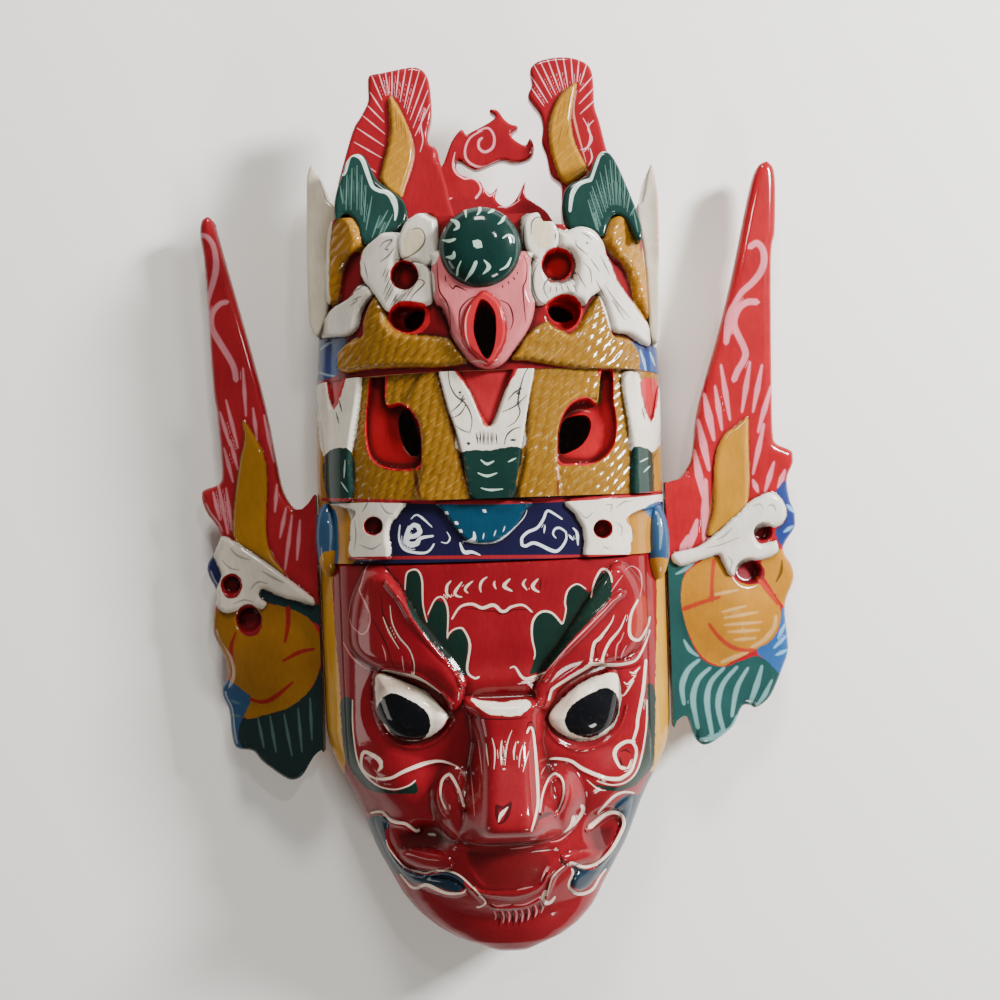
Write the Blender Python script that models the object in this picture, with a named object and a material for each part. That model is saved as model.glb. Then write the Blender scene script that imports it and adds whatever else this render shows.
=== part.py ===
# Carved and painted wooden garuda mask: a face and a tiered helmet-crown cut from one hollowed
# half-log, with a separately carved ear wing standing off each side.
# The mask lies on its back rim: X to the right, Y toward the crown's top, Z up out of the floor.
# Outlines and depths below are in millimetres, and MM turns them into metres.
import bpy
import bmesh
import numpy as np

MM = 0.001

# The whole object is moved by this much, so its box stands on the middle of the floor plane.
SHIFT_X = -3.0
SHIFT_Y = 2.4

# The half-log
RIM_HEIGHT = 20.0          # straight side wall below the rounded front
LOG_POWER = 2.3            # how square the log's section is
CHIN_Y = -228.8
CROWN_END_Y = 136.0
BAND_Y = -29.0             # lower edge of the head band
TIER_Y = 1.0               # lower edge of the scaly tier
TOP_TIER_Y = 62.0          # lower edge of the top tier
TIER_EDGE = 0.8            # how far a tier's edge leans
FACE_COLUMNS = 68
FACE_ROW = 3.6
CHIN_ROW = 2.3
CROWN_COLUMNS = 40

# Half width of the log, its middle line and its depth at stations along Y
WIDTH_AT = (CHIN_Y, -224, -216, -205, -192, -171, -151, -140, -132, -124, -116, 0, 50, 85, CROWN_END_Y)
HALF_WIDTH = (9, 17, 33, 45.5, 52.5, 63.2, 71, 76.8, 82, 88, 90.5, 90.5, 90, 88.5, 88)
MIDDLE_AT = (-140, -116, 20, 85)
MIDDLE = (0, -1.2, -1.2, 0.2)
DEPTH_AT = (CHIN_Y, -226.5, -222, -214, -203, -190, -170, -130, -100, -70, BAND_Y - TIER_EDGE, BAND_Y,
            TIER_Y, TIER_Y + TIER_EDGE, TOP_TIER_Y, TOP_TIER_Y + TIER_EDGE, CROWN_END_Y)
BAND_DEPTH = 86.0
TIER_DEPTH = 90.0
TOP_TIER_DEPTH = 92.0
DEPTH = (24, 36, 45, 54, 61, 66, 70, 72, 76, 80, 82, BAND_DEPTH, BAND_DEPTH, TIER_DEPTH, TIER_DEPTH,
         TOP_TIER_DEPTH, TOP_TIER_DEPTH)

# The hollow behind the face, held in by these walls
SIDE_WALL = 11.0
FRONT_WALL = 20.0
END_WALL = 14.0
HOLLOW_RIM = 6.0           # straight side of the hollow before it arches over
HOLLOW_BELOW = 5.0
HOLLOW_COLUMNS = 18
HOLLOW_ROW = 18.0

# The face's forms: outlines of the raised brows, the eyes, the mouth and the folds at its corners
BROW_LEFT = [(-73, -70), (-72, -50), (-66, -36), (-59, -27), (-46, -41), (-32, -65), (-19, -84),
             (-17, -94), (-23, -102), (-31, -91), (-49, -82), (-62, -79)]
BROW_RIGHT = [(74, -68), (74, -50), (68, -38), (60, -32), (47, -46), (33, -66), (20, -86),
              (17, -96), (23, -103), (32, -91), (50, -82), (64, -79)]
EYE_LEFT = [(-61, -84), (-55, -83), (-43, -88), (-32, -96), (-25, -105), (-31, -113), (-44, -117),
            (-56, -112), (-62, -100)]
EYE_RIGHT = [(58, -86), (50, -87), (38, -92), (28, -100), (23, -107), (29, -115), (42, -119),
             (54, -115), (59, -100)]
MOUTH = [(-17, -168), (25, -170), (20, -180), (13, -187), (-5, -188), (-13, -184)]
FOLD_LEFT = [(-65, -157), (-59, -156), (-57, -172), (-47, -184), (-28, -185), (-19, -191),
             (-27, -195), (-46, -191), (-57, -181), (-64, -166)]
FOLD_RIGHT = [(56, -155), (65, -151), (64, -163), (55, -180), (43, -195), (33, -196), (34, -186),
              (46, -184), (57, -170), (59, -160)]
# Raised outlines of the face: outline, height and width of the rounded edge
FACE_FORMS = [(BROW_LEFT, 6.0, 7.0), (BROW_RIGHT, 6.0, 7.0), (EYE_LEFT, 7.5, 11.0), (EYE_RIGHT, 7.5, 11.0),
              (MOUTH, -3.0, 5.0), (FOLD_LEFT, 3.0, 4.0), (FOLD_RIGHT, 3.0, 4.0)]
# Soft mounds and hollows of the face: middle, half sizes and height
SOCKETS = [((-44, -101), (26, 25), -6.0), ((42, -103), (26, 25), -6.0)]
PUPILS = [((-47, -104), (15, 11), 2.0), ((45, -105), (15, 11), 2.0)]
CHEEKS = [((-52, -140), (26, 18), 6.0), ((52, -141), (26, 18), 6.0)]
MUZZLE = [((2, -177), (46, 27), 8.0)]
NOSE_WINGS = [((-23, -146), (12, 18), 13.0), ((26, -146), (12, 18), 13.0)]
MOUTH_CORNERS = [((-50, -167), (13, 11), -10.0), ((48, -168), (13, 11), -10.0)]
MOUNDS = SOCKETS + PUPILS + CHEEKS + MUZZLE + NOSE_WINGS + MOUTH_CORNERS
FROWN_Y = -87.0            # the fold between the brows
FROWN_HEIGHT = 3.0
FROWN_WIDTH = 6.0
NOSE_X = 1.8
NOSE_AT = (-166, -161, -157, -152, -145, -135, -125, -114, -104, -96)
NOSE_HEIGHT = (76, 92, 103, 107, 104, 97, 90, 85, 86, 84)
NOSE_HALF_AT = (-157, -140, -115, -96)
NOSE_HALF = (14, 11, 13, 15)
NOSE_FLANK = 13.0
NOSE_ROUND = 2.4
NOSE_LOW = -168.0
NOSE_UNDERCUT = 8.0
NOSE_ROOT = -94.0
NOSE_FADE = 6.0
SIDE_STRIP_X = 77.0        # the face stands proud of the strips down its sides
SIDE_STRIP_STEP = 3.5
SIDE_STRIP_END = -128.0     # below this the face reaches the log's edge
SIDE_STRIP_FADE = 8.0
BAND_FADE = 8.0            # how far under the band the face's relief starts
EDGE_FADE = 8              # how late the relief dies away toward the log's edge

# Raised forms of the crown: outline and how far each stands off the log
CREATURE_LEFT = [(-38, 130), (-34, 135), (-29, 138), (-24, 136), (-21, 130), (-21, 119), (-24, 108),
                 (-24, 97), (-29, 94), (-39, 96), (-46, 93), (-52, 103), (-59, 94), (-62, 84),
                 (-66, 82), (-83, 86), (-84, 88), (-74, 97), (-64, 102), (-59, 114), (-57, 122),
                 (-52, 127), (-46, 130)]
CREATURE_RIGHT = [(20, 132), (25, 136), (30, 136), (35, 128), (47, 130), (57, 124), (61, 110),
                  (71, 95), (82, 81), (81, 76), (68, 80), (61, 80), (59, 87), (54, 99), (47, 92),
                  (37, 97), (25, 93), (22, 99), (23, 112), (19, 120)]
GOLD_LEFT = [(-52, 100), (-48, 89), (-43, 82), (-27, 79), (-17, 77.5), (-8.5, 64), (-22, 61),
             (-46, 60.5), (-72, 61), (-74, 68), (-69, 78), (-60.5, 82.5), (-56, 94)]
GOLD_RIGHT = [(53, 97.5), (61.5, 79), (70, 76), (75, 68), (74, 57), (64, 58), (35, 61), (10, 64),
              (14.5, 75.5), (27, 84), (34, 84), (40, 79), (44, 82), (48, 89)]
ARCH_LEFT = [(-75, 100), (-76, 124), (-72, 136), (-65, 140), (-60, 136), (-58, 127), (-60, 121),
             (-66, 119), (-69, 113), (-71, 99)]
ARCH_RIGHT = [(58, 122), (60, 131), (64, 136), (69, 135), (74, 128), (77, 118), (79, 106),
              (79, 88), (74, 91), (67, 110), (62, 117)]
BEAK = [(-22, 116), (-24, 94), (-19, 88), (-16, 76), (-10.5, 65), (0, 62.4), (11.5, 65.2), (16.5, 74),
        (22.5, 84.5), (24, 93), (21, 116)]
TIE_MIDDLE = [(-24, 66), (-17, 66), (0, 36), (14, 66), (22, 66), (15, 24), (10, 0), (-9, 0), (-14, 23)]
TIE_LEFT = [(-88, 64), (-80, 63), (-77, 42), (-69, 64), (-61, 64), (-68, 27), (-69, 2), (-83, 2),
            (-85, 27)]
TIE_RIGHT = [(65, 60), (75, 60), (80, 37), (85, 57), (88, 57), (85, 23), (81, 0), (69, 0), (70, 23)]
HALF_DISC = [(-24.5, 3.5), (-23, -6), (-18, -14), (-11, -19), (-5, -20), (3, -19), (9, -15), (14, -8),
             (16, 3.2)]
KNOT_LEFT = [(-78, 3), (-44, 3), (-46, -4), (-51, -11), (-52, -23), (-71, -23), (-69, -15),
             (-70, -7), (-66, -2)]
KNOT_RIGHT = [(39, 3), (81, 3), (83, -3), (67, -9), (69, -16), (67, -25), (52, -27), (45, -25),
              (45, -17), (41, -10)]
TOP_TIER_FORMS = [(CREATURE_LEFT, 4.5), (CREATURE_RIGHT, 4.5), (GOLD_LEFT, 4.0), (GOLD_RIGHT, 4.0),
                  (ARCH_LEFT, 6.0), (ARCH_RIGHT, 6.0), (BEAK, 8.0)]
TIER_FORMS = [(TIE_MIDDLE, 3.0), (TIE_LEFT, 3.0), (TIE_RIGHT, 3.0)]
BAND_FORMS = [(HALF_DISC, 2.0), (KNOT_LEFT, 3.0), (KNOT_RIGHT, 3.0)]
RAISED = [(BAND_FORMS, BAND_DEPTH), (TIER_FORMS, TIER_DEPTH), (TOP_TIER_FORMS, TOP_TIER_DEPTH)]
RAISED_FLOOR = 30.0
RAISED_SKIRT = 20.0        # how far the shell that trims them reaches below that
RAISED_MARGIN = 7.0
RAISED_ROWS = (BAND_Y - RAISED_MARGIN, TIER_Y, TOP_TIER_Y, CROWN_END_Y + RAISED_MARGIN)

# Recesses cut down to a flat floor: outline and the floor's height
RECESS_LEFT = [(-56, 60), (-50, 60), (-50, 49), (-43, 48), (-38, 45), (-34, 36), (-34, 18),
               (-39, 16), (-48, 17), (-55, 19), (-59, 26), (-60, 48)]
RECESS_RIGHT = [(56, 60), (60, 60), (61, 32), (59, 25), (56, 19), (49, 16), (40, 17), (33, 18),
                (33, 28), (37, 42), (43, 46), (49, 47), (54, 44)]
RECESS_FLOOR = TIER_DEPTH - 20.0
SOCKET_FLOOR = TOP_TIER_DEPTH - 12.0
KNOT_PIT_FLOOR = BAND_DEPTH - 17.0
RECESSES = [(RECESS_LEFT, RECESS_FLOOR), (RECESS_RIGHT, RECESS_FLOOR)]
# Round recesses: middle, radius and floor
ROUND_RECESSES = [((-38, 109), 7.0, SOCKET_FLOOR), ((34.5, 112), 7.5, SOCKET_FLOOR),
                  ((-60, -12), 4.5, KNOT_PIT_FLOOR), ((53, -17), 4.5, KNOT_PIT_FLOOR)]
# Openings that go right through into the hollow
HOLE_LEFT = [(-43, 45), (-38, 45), (-35, 39), (-34.4, 31), (-34.4, 22), (-39, 23), (-43, 29), (-45, 37)]
HOLE_RIGHT = [(37, 38), (43, 40), (49, 40), (50, 35), (47, 28), (41, 23), (34, 22), (33.4, 28), (35, 34)]
BEAK_SLIT = [(-1, 95), (3, 90), (5, 84), (3, 74), (0, 66), (-3, 73), (-6, 81), (-4, 89)]
OPENINGS = [HOLE_LEFT, HOLE_RIGHT, BEAK_SLIT]
EYE_OPENINGS = [((-37, 89), 8.0, 6.8), ((37, 89), 8.0, 8.0)]
OPENING_FLOOR = 30.0
CUT_TOP = 130.0

# The round boss over the beak and the blue beads at the band's corners: middle and half sizes
BOSS = ((-1.4, 118.8, 98.0), (19.8, 19.8, 9.0))
BEADS = [((-83.5, -17, 52), (6.5, 19, 8)), ((82.5, -24, 50), (6.5, 19, 8))]

# Free tips of the crown: outline, height of the upper face at the log's end, its drop per
# millimetre beyond it, the lower face's height there and its rise
WING_LEFT = [(-68, 128), (-70, 159), (-66, 174), (-65, 186), (-59, 195), (-56, 204), (-56, 216), (-49, 219),
             (-37, 221), (-29, 220), (-25, 213), (-24, 200), (-26, 187), (-26, 180), (-22, 177),
             (-20, 169), (-18, 128)]
WING_RIGHT = [(40, 128), (40, 155), (35, 163), (33, 175), (31, 183), (32, 191), (28, 198), (25, 204),
              (27, 208), (27, 218), (32, 222), (40, 224), (49, 223), (56, 219), (58, 210), (58, 196),
              (62, 184), (64, 172), (66, 128)]
LEAF_LEFT = [(-44, 203), (-44, 187), (-49, 170), (-50, 162), (-46, 150), (-38, 150), (-35, 167),
             (-34, 177), (-35, 187), (-38, 196)]
LEAF_RIGHT = [(49, 208), (44, 204), (39, 198), (35, 189), (35, 179), (36, 169), (39, 155), (50, 155),
              (52, 164), (48, 176), (46, 189), (47, 200)]
CREST = [(-26, 130), (-24, 176), (-20, 171), (-17, 177), (-14, 184), (-10, 189), (-7, 187), (-1, 190),
         (5, 194), (7, 196), (5.5, 200), (9, 200), (13, 194), (19, 190.5), (16, 186), (19, 182),
         (23.5, 180.5), (26, 184), (28, 179), (26, 174), (21, 172), (10, 173), (0, 170), (-7, 172),
         (-9, 175), (-12, 173), (-13, 169), (-8, 165), (-2, 163), (2, 158), (4.5, 157), (8, 160.5),
         (7.5, 155), (11, 150), (14, 150), (18, 155), (21, 161.5), (23, 161), (23, 154), (29, 149),
         (36, 142), (42, 130)]
FAN_LEFT = [(-68, 161), (-65, 168), (-61, 171), (-58, 169), (-55, 158), (-50, 154), (-44, 150),
            (-40, 145), (-38, 138), (-40, 128), (-70, 128), (-72, 143), (-72, 151)]
FAN_RIGHT = [(61, 169), (64, 166), (70, 154), (74, 143), (76, 128), (42, 128), (39, 138), (39, 145),
             (42, 151), (48, 155), (53, 156), (56, 164)]
FIN_LEFT = [(-90, 128), (-90.5, 150), (-88.5, 173), (-86, 174), (-83, 168), (-81, 159), (-77, 154),
            (-77, 128)]
FIN_RIGHT = [(87.5, 170), (89, 163), (90, 151), (92, 149), (91, 128), (80, 128), (80, 148), (83, 153),
             (85.5, 169)]
TIPS = [
    (WING_LEFT, 57.0, 0.08, 46.0, -0.06), (WING_RIGHT, 57.0, 0.08, 46.0, -0.06),
    (LEAF_LEFT, 59.5, 0.08, 52.0, -0.08), (LEAF_RIGHT, 59.5, 0.08, 52.0, -0.08),
    (CREST, 50.0, 0.06, 41.0, -0.06), (FAN_LEFT, 78.0, 0.2, 54.0, -0.1),
    (FAN_RIGHT, 78.0, 0.2, 54.0, -0.1), (FIN_LEFT, 62.0, 0.25, 14.0, 0.6),
    (FIN_RIGHT, 62.0, 0.25, 14.0, 0.6)]
TIP_ROOT = 16.0            # how deep a tip is let into the log's end
TIP_LENGTH = 94.0
TIP_START = CROWN_END_Y - TIP_ROOT
TIP_END = CROWN_END_Y + TIP_LENGTH
TIP_REACH = 120.0
TIP_MARGIN = 2.0

# The ear wings: they meet the log's side with this gap and lean back away from it
SEAT_GAP = 0.3
SEAT_Y = -60.0             # where the log's side is measured for the ears' straight seats
EAR_FRONT = 36.0           # height of the front face beside the log
EAR_LEAN = 0.2             # how far that face drops for each millimetre outwards
EAR_LEAN_FROM = 90.0       # from this far out
EAR_FRONT_MARGIN = 2.0     # how far the front's grid and the cutter behind it pass the outline
EAR_BACK_MARGIN = 4.0
EAR_PIT_ROUND = 1.5
EAR_THICKNESS = 11.0
EAR_EDGE_ROUND = 5.0
EAR_EDGE_DROP = 3.0
EAR_SEAT_BAND = 12.0       # next to the log the front keeps its height
EAR_LEFT = [(-146, 155), (-142, 151), (-139, 136), (-129, 99), (-120, 64), (-115, 35), (-111, 14),
            (-108, 4), (-104, 0), (-93, -1), (-91, -1), (-91, -126), (-94, -127), (-100, -133),
            (-104, -139), (-109, -142), (-119, -138), (-125, -133), (-131, -127), (-139, -126),
            (-142, -119), (-143, -106), (-147, -96), (-143, -85), (-144, -78), (-150, -66),
            (-149, -55), (-147, -44), (-152, -31), (-149, -24), (-145, -16), (-147, -8), (-153, 1),
            (-154, 9), (-150, 12), (-144, 14), (-142, 21), (-143, 37), (-146, 66), (-146, 87),
            (-148, 126), (-150, 145), (-149, 152)]
EAR_RIGHT = [(151, 174), (146, 170), (142, 161), (137, 140), (131, 116), (123, 87), (114, 61),
             (108, 41), (105, 20), (102, 12), (98, 8), (93, 1), (88, 0), (88, -115), (94, -115),
             (99, -119), (102, -130), (109, -131), (119, -126), (124, -119), (128, -112),
             (135, -114), (143, -109), (151, -92), (154, -79), (152, -61), (157, -50), (158, -42),
             (153, -29), (158, -21), (160, -12), (156, 5), (160, 19), (155, 22), (151, 24),
             (149, 32), (150, 85), (152, 129), (154, 140), (155, 166)]
EAR_BALL_LEFT = ((-123, -77), (27, 27), 5.0)
EAR_BALL_RIGHT = ((121, -63), (27, 27), 5.0)
CLOUD_LEFT = [(-146, -14), (-138, -26), (-122, -36), (-94, -49), (-94, -57), (-122, -50), (-137, -51),
              (-147, -46)]
CLOUD_RIGHT = [(92, -30), (110, -25), (126, -12), (138, -5), (145, -1), (153, -4), (154, -12),
               (149, -20), (149, -32), (134, -38), (122, -44), (113, -33), (92, -38)]
FEATHER_LEFT = [(-129, 47), (-120, 25), (-114, -1), (-108, -38), (-122, -32), (-131, -22),
                (-136, -14), (-135, 15)]
FEATHER_RIGHT = [(135, 38), (128, 35), (121, 28), (116, 20), (114, 7), (112, -22), (126, -13),
                 (134, -7), (136, 11)]
EAR_PITS_LEFT = [((-139, -40), 4.5), ((-130, -58), 6.0)]
EAR_PITS_RIGHT = [((141, -22), 4.5), ((132, -42), 6.5)]
CLOUD_HEIGHT = 3.5
FEATHER_HEIGHT = 2.5
EAR_FORM_ROUND = 4.0
EAR_PIT_DEPTH = 6.0
EAR_GRID = 3.2

LOG_TRIANGLES = 4600        # before the crown's carving is added
BODY_TRIANGLES = 7600
EAR_TRIANGLES = 1150

# Materials: colour, roughness
LACQUER_RED = ((0.40, 0.02, 0.025, 1.0), 0.3)
EAR_RED = ((0.55, 0.05, 0.06, 1.0), 0.35)


def smooth(low, high, value):
    """Rise from 0 at low to 1 at high with flat ends."""
    share = np.clip((value - low) / (high - low), 0.0, 1.0)
    return share * share * (3.0 - 2.0 * share)


def inside_distance(x, y, outline):
    """Distance to the outline, positive inside it and negative outside."""
    nearest = np.full(np.shape(x), 1e9)
    crossings = np.zeros(np.shape(x), dtype=int)
    count = len(outline)
    for index in range(count):
        ax, ay = outline[index]
        bx, by = outline[(index + 1) % count]
        along = ((x - ax) * (bx - ax) + (y - ay) * (by - ay)) / ((bx - ax) ** 2 + (by - ay) ** 2)
        along = np.clip(along, 0.0, 1.0)
        nearest = np.minimum(nearest, np.hypot(x - ax - along * (bx - ax), y - ay - along * (by - ay)))
        if ay != by:
            spans = (y < ay) != (y < by)
            crossings += spans & (x < ax + (y - ay) / (by - ay) * (bx - ax))
    return np.where(crossings % 2 == 1, nearest, -nearest)


def puff(x, y, outline, height, edge):
    """A form with a flat top and a quarter-round edge inside its outline."""
    share = np.clip(inside_distance(x, y, outline) / edge, 0.0, 1.0)
    return height * np.sqrt(1.0 - (1.0 - share) ** 2)


def dome(x, y, middle, half_sizes, height):
    """A soft mound that fades to nothing at its half sizes."""
    away = ((x - middle[0]) / half_sizes[0]) ** 2 + ((y - middle[1]) / half_sizes[1]) ** 2
    return height * np.clip(1.0 - away, 0.0, 1.0) ** 1.5


def log_height(x, y):
    """Height of the bare half-log over a point."""
    share = np.abs(x - np.interp(y, MIDDLE_AT, MIDDLE)) / np.interp(y, WIDTH_AT, HALF_WIDTH)
    arch = (1.0 - np.clip(share, 0.0, 1.0) ** LOG_POWER) ** (1.0 / LOG_POWER)
    return RIM_HEIGHT + (np.interp(y, DEPTH_AT, DEPTH) - RIM_HEIGHT) * arch


def face_relief(x, y):
    """How far the face's carving stands off the half-log."""
    bare = log_height(x, y)
    relief = FROWN_HEIGHT * np.exp(-((y - FROWN_Y) / FROWN_WIDTH) ** 2)
    relief *= smooth(4.0 * FROWN_WIDTH, 2.0 * FROWN_WIDTH, np.abs(x))
    for outline, height, edge in FACE_FORMS:
        relief += puff(x, y, outline, height, edge)
    for middle, half_sizes, height in MOUNDS:
        relief += dome(x, y, middle, half_sizes, height)
    ridge = np.interp(y, NOSE_AT, NOSE_HEIGHT) - bare
    half = np.interp(y, NOSE_HALF_AT, NOSE_HALF)
    nose = 1.0 - np.clip(np.abs(x - NOSE_X) / (half + NOSE_FLANK), 0.0, 1.0) ** NOSE_ROUND
    nose *= smooth(NOSE_LOW, NOSE_LOW + NOSE_UNDERCUT, y) * smooth(NOSE_ROOT, NOSE_ROOT - NOSE_FADE, y)
    relief = relief * (1.0 - nose) + ridge * nose
    middle = np.interp(y, MIDDLE_AT, MIDDLE)
    jaw = smooth(SIDE_STRIP_END, SIDE_STRIP_END - SIDE_STRIP_FADE, y)
    strip = smooth(SIDE_STRIP_X, SIDE_STRIP_X - TIER_EDGE, np.abs(x - middle))
    shoulder = SIDE_STRIP_STEP * np.maximum(strip, jaw)
    edge = 1.0 - np.clip(np.abs(x - middle) / np.interp(y, WIDTH_AT, HALF_WIDTH), 0.0, 1.0) ** EDGE_FADE
    top = smooth(BAND_Y - TIER_EDGE, BAND_Y - BAND_FADE, y)
    return (relief * top + shoulder) * edge * (y < BAND_Y - TIER_EDGE / 2.0)


def link(name, mesh, collection):
    """Put a mesh into a collection under a name."""
    obj = bpy.data.objects.new(name, mesh)
    collection.objects.link(obj)
    return obj


def solid_from_grid(name, columns, rows, place, floor, collection):
    """Close a grid into a solid: place(u, row) gives each point, and its border drops to a floor."""
    mesh = bpy.data.meshes.new(name)
    bm = bmesh.new()
    bmesh.ops.create_grid(bm, x_segments=columns, y_segments=len(rows) - 1, size=1.0)
    grid = np.array([vert.co[:2] for vert in bm.verts])
    row = np.rint((grid[:, 1] + 1.0) / 2.0 * (len(rows) - 1)).astype(int)
    points = place(grid[:, 0], np.array(rows)[row])
    for vert, point in zip(bm.verts, np.stack(points, axis=1)):
        vert.co = point * MM
    border = [edge for edge in bm.edges if edge.is_boundary]
    made = bmesh.ops.extrude_edge_only(bm, edges=border)["geom"]
    lower = [item for item in made if isinstance(item, bmesh.types.BMVert)]
    for vert in lower:
        vert.co.z = floor * MM
    bmesh.ops.holes_fill(bm, edges=[edge for edge in bm.edges if edge.is_boundary], sides=0)
    bmesh.ops.triangulate(bm, faces=[face for face in bm.faces if len(face.verts) > 4])
    bmesh.ops.recalc_face_normals(bm, faces=bm.faces[:])
    bm.to_mesh(mesh)
    bm.free()
    return link(name, mesh, collection)


def log_place(width_at, half_width, depth_at, depth, rim):
    """Points of a half-log's rounded front, from one side wall (u = -1) to the other (u = 1)."""
    def place(u, y):
        turn = u * np.pi / 2.0
        side = np.sign(turn) * np.abs(np.sin(turn)) ** (2.0 / LOG_POWER)
        arch = np.clip(np.cos(turn), 0.0, 1.0) ** (2.0 / LOG_POWER)
        x = np.interp(y, MIDDLE_AT, MIDDLE) + np.interp(y, width_at, half_width) * side
        z = rim + (np.interp(y, depth_at, depth) - rim) * arch
        return x, y, z
    return place


def prism(name, outline, low, high, collection):
    """A straight-sided block on a closed outline."""
    curve = bpy.data.curves.new(name + "_curve", "CURVE")
    curve.dimensions = "2D"
    curve.fill_mode = "BOTH"
    curve.extrude = (high - low) / 2.0 * MM
    spline = curve.splines.new("POLY")
    spline.points.add(len(outline) - 1)
    for point, (x, y) in zip(spline.points, outline):
        point.co = (x * MM, y * MM, 0.0, 1.0)
    spline.use_cyclic_u = True
    source = bpy.data.objects.new(name + "_curve", curve)
    collection.objects.link(source)
    source.location.z = (high + low) / 2.0 * MM
    bpy.context.view_layer.update()
    evaluated = source.evaluated_get(bpy.context.evaluated_depsgraph_get())
    mesh = bpy.data.meshes.new_from_object(evaluated)
    mesh.transform(source.matrix_world)
    bm = bmesh.new()
    bm.from_mesh(mesh)
    bmesh.ops.remove_doubles(bm, verts=bm.verts[:], dist=0.01 * MM)
    bmesh.ops.recalc_face_normals(bm, faces=bm.faces[:])
    bm.to_mesh(mesh)
    bm.free()
    bpy.data.objects.remove(source)
    bpy.data.curves.remove(curve)
    return link(name, mesh, collection)


def round_outline(middle, half_x, half_y, count=14):
    """An ellipse as an outline."""
    turns = [index * 2.0 * np.pi / count for index in range(count)]
    return [(middle[0] + half_x * np.cos(turn), middle[1] + half_y * np.sin(turn)) for turn in turns]


def ellipsoid(name, middle, half_sizes, across, along, collection):
    """A stretched sphere."""
    mesh = bpy.data.meshes.new(name)
    bm = bmesh.new()
    bmesh.ops.create_uvsphere(bm, u_segments=across, v_segments=along, radius=1.0)
    for vert in bm.verts:
        vert.co.x = (vert.co.x * half_sizes[0] + middle[0]) * MM
        vert.co.y = (vert.co.y * half_sizes[1] + middle[1]) * MM
        vert.co.z = (vert.co.z * half_sizes[2] + middle[2]) * MM
    bm.to_mesh(mesh)
    bm.free()
    return link(name, mesh, collection)


def apply_modifiers(obj):
    """Turn the modifiers' result into the object's own mesh."""
    bpy.context.view_layer.update()
    evaluated = obj.evaluated_get(bpy.context.evaluated_depsgraph_get())
    mesh = bpy.data.meshes.new_from_object(evaluated)
    obj.modifiers.clear()
    obj.data = mesh


def combine(target, tool, operation):
    """One exact Boolean, after which the tool is gone."""
    step = target.modifiers.new(operation.lower(), "BOOLEAN")
    step.operation = operation
    step.solver = "EXACT"
    step.object = tool
    apply_modifiers(target)
    bpy.data.objects.remove(tool)


def thin_out(obj, triangles):
    """Bring a solid down to about so many triangles, keeping its corners."""
    bm = bmesh.new()
    bm.from_mesh(obj.data)
    bmesh.ops.triangulate(bm, faces=bm.faces[:])
    bm.to_mesh(obj.data)
    bm.free()
    count = len(obj.data.polygons)
    if count > triangles:
        step = obj.modifiers.new("thin", "DECIMATE")
        step.ratio = triangles / count
        apply_modifiers(obj)


def tidy(obj):
    """Weld, drop slivers and point all faces outwards."""
    bm = bmesh.new()
    bm.from_mesh(obj.data)
    bmesh.ops.remove_doubles(bm, verts=bm.verts[:], dist=0.02 * MM)
    bmesh.ops.dissolve_degenerate(bm, edges=bm.edges[:], dist=0.02 * MM)
    bmesh.ops.triangulate(bm, faces=bm.faces[:])
    bmesh.ops.recalc_face_normals(bm, faces=bm.faces[:])
    bm.to_mesh(obj.data)
    bm.free()


def steps(start, end, stride):
    """Evenly spaced stations from start to end, no further apart than the stride."""
    count = int(np.ceil((end - start) / stride)) + 1
    return list(np.linspace(start, end, count))


def material(name, look):
    """A plain painted finish."""
    mat = bpy.data.materials.new(name)
    mat.use_nodes = True
    shader = mat.node_tree.nodes["Principled BSDF"]
    shader.inputs["Base Color"].default_value = look[0]
    shader.inputs["Roughness"].default_value = look[1]
    shader.inputs["Metallic"].default_value = 0.0
    mat.diffuse_color = look[0]
    return mat


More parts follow.
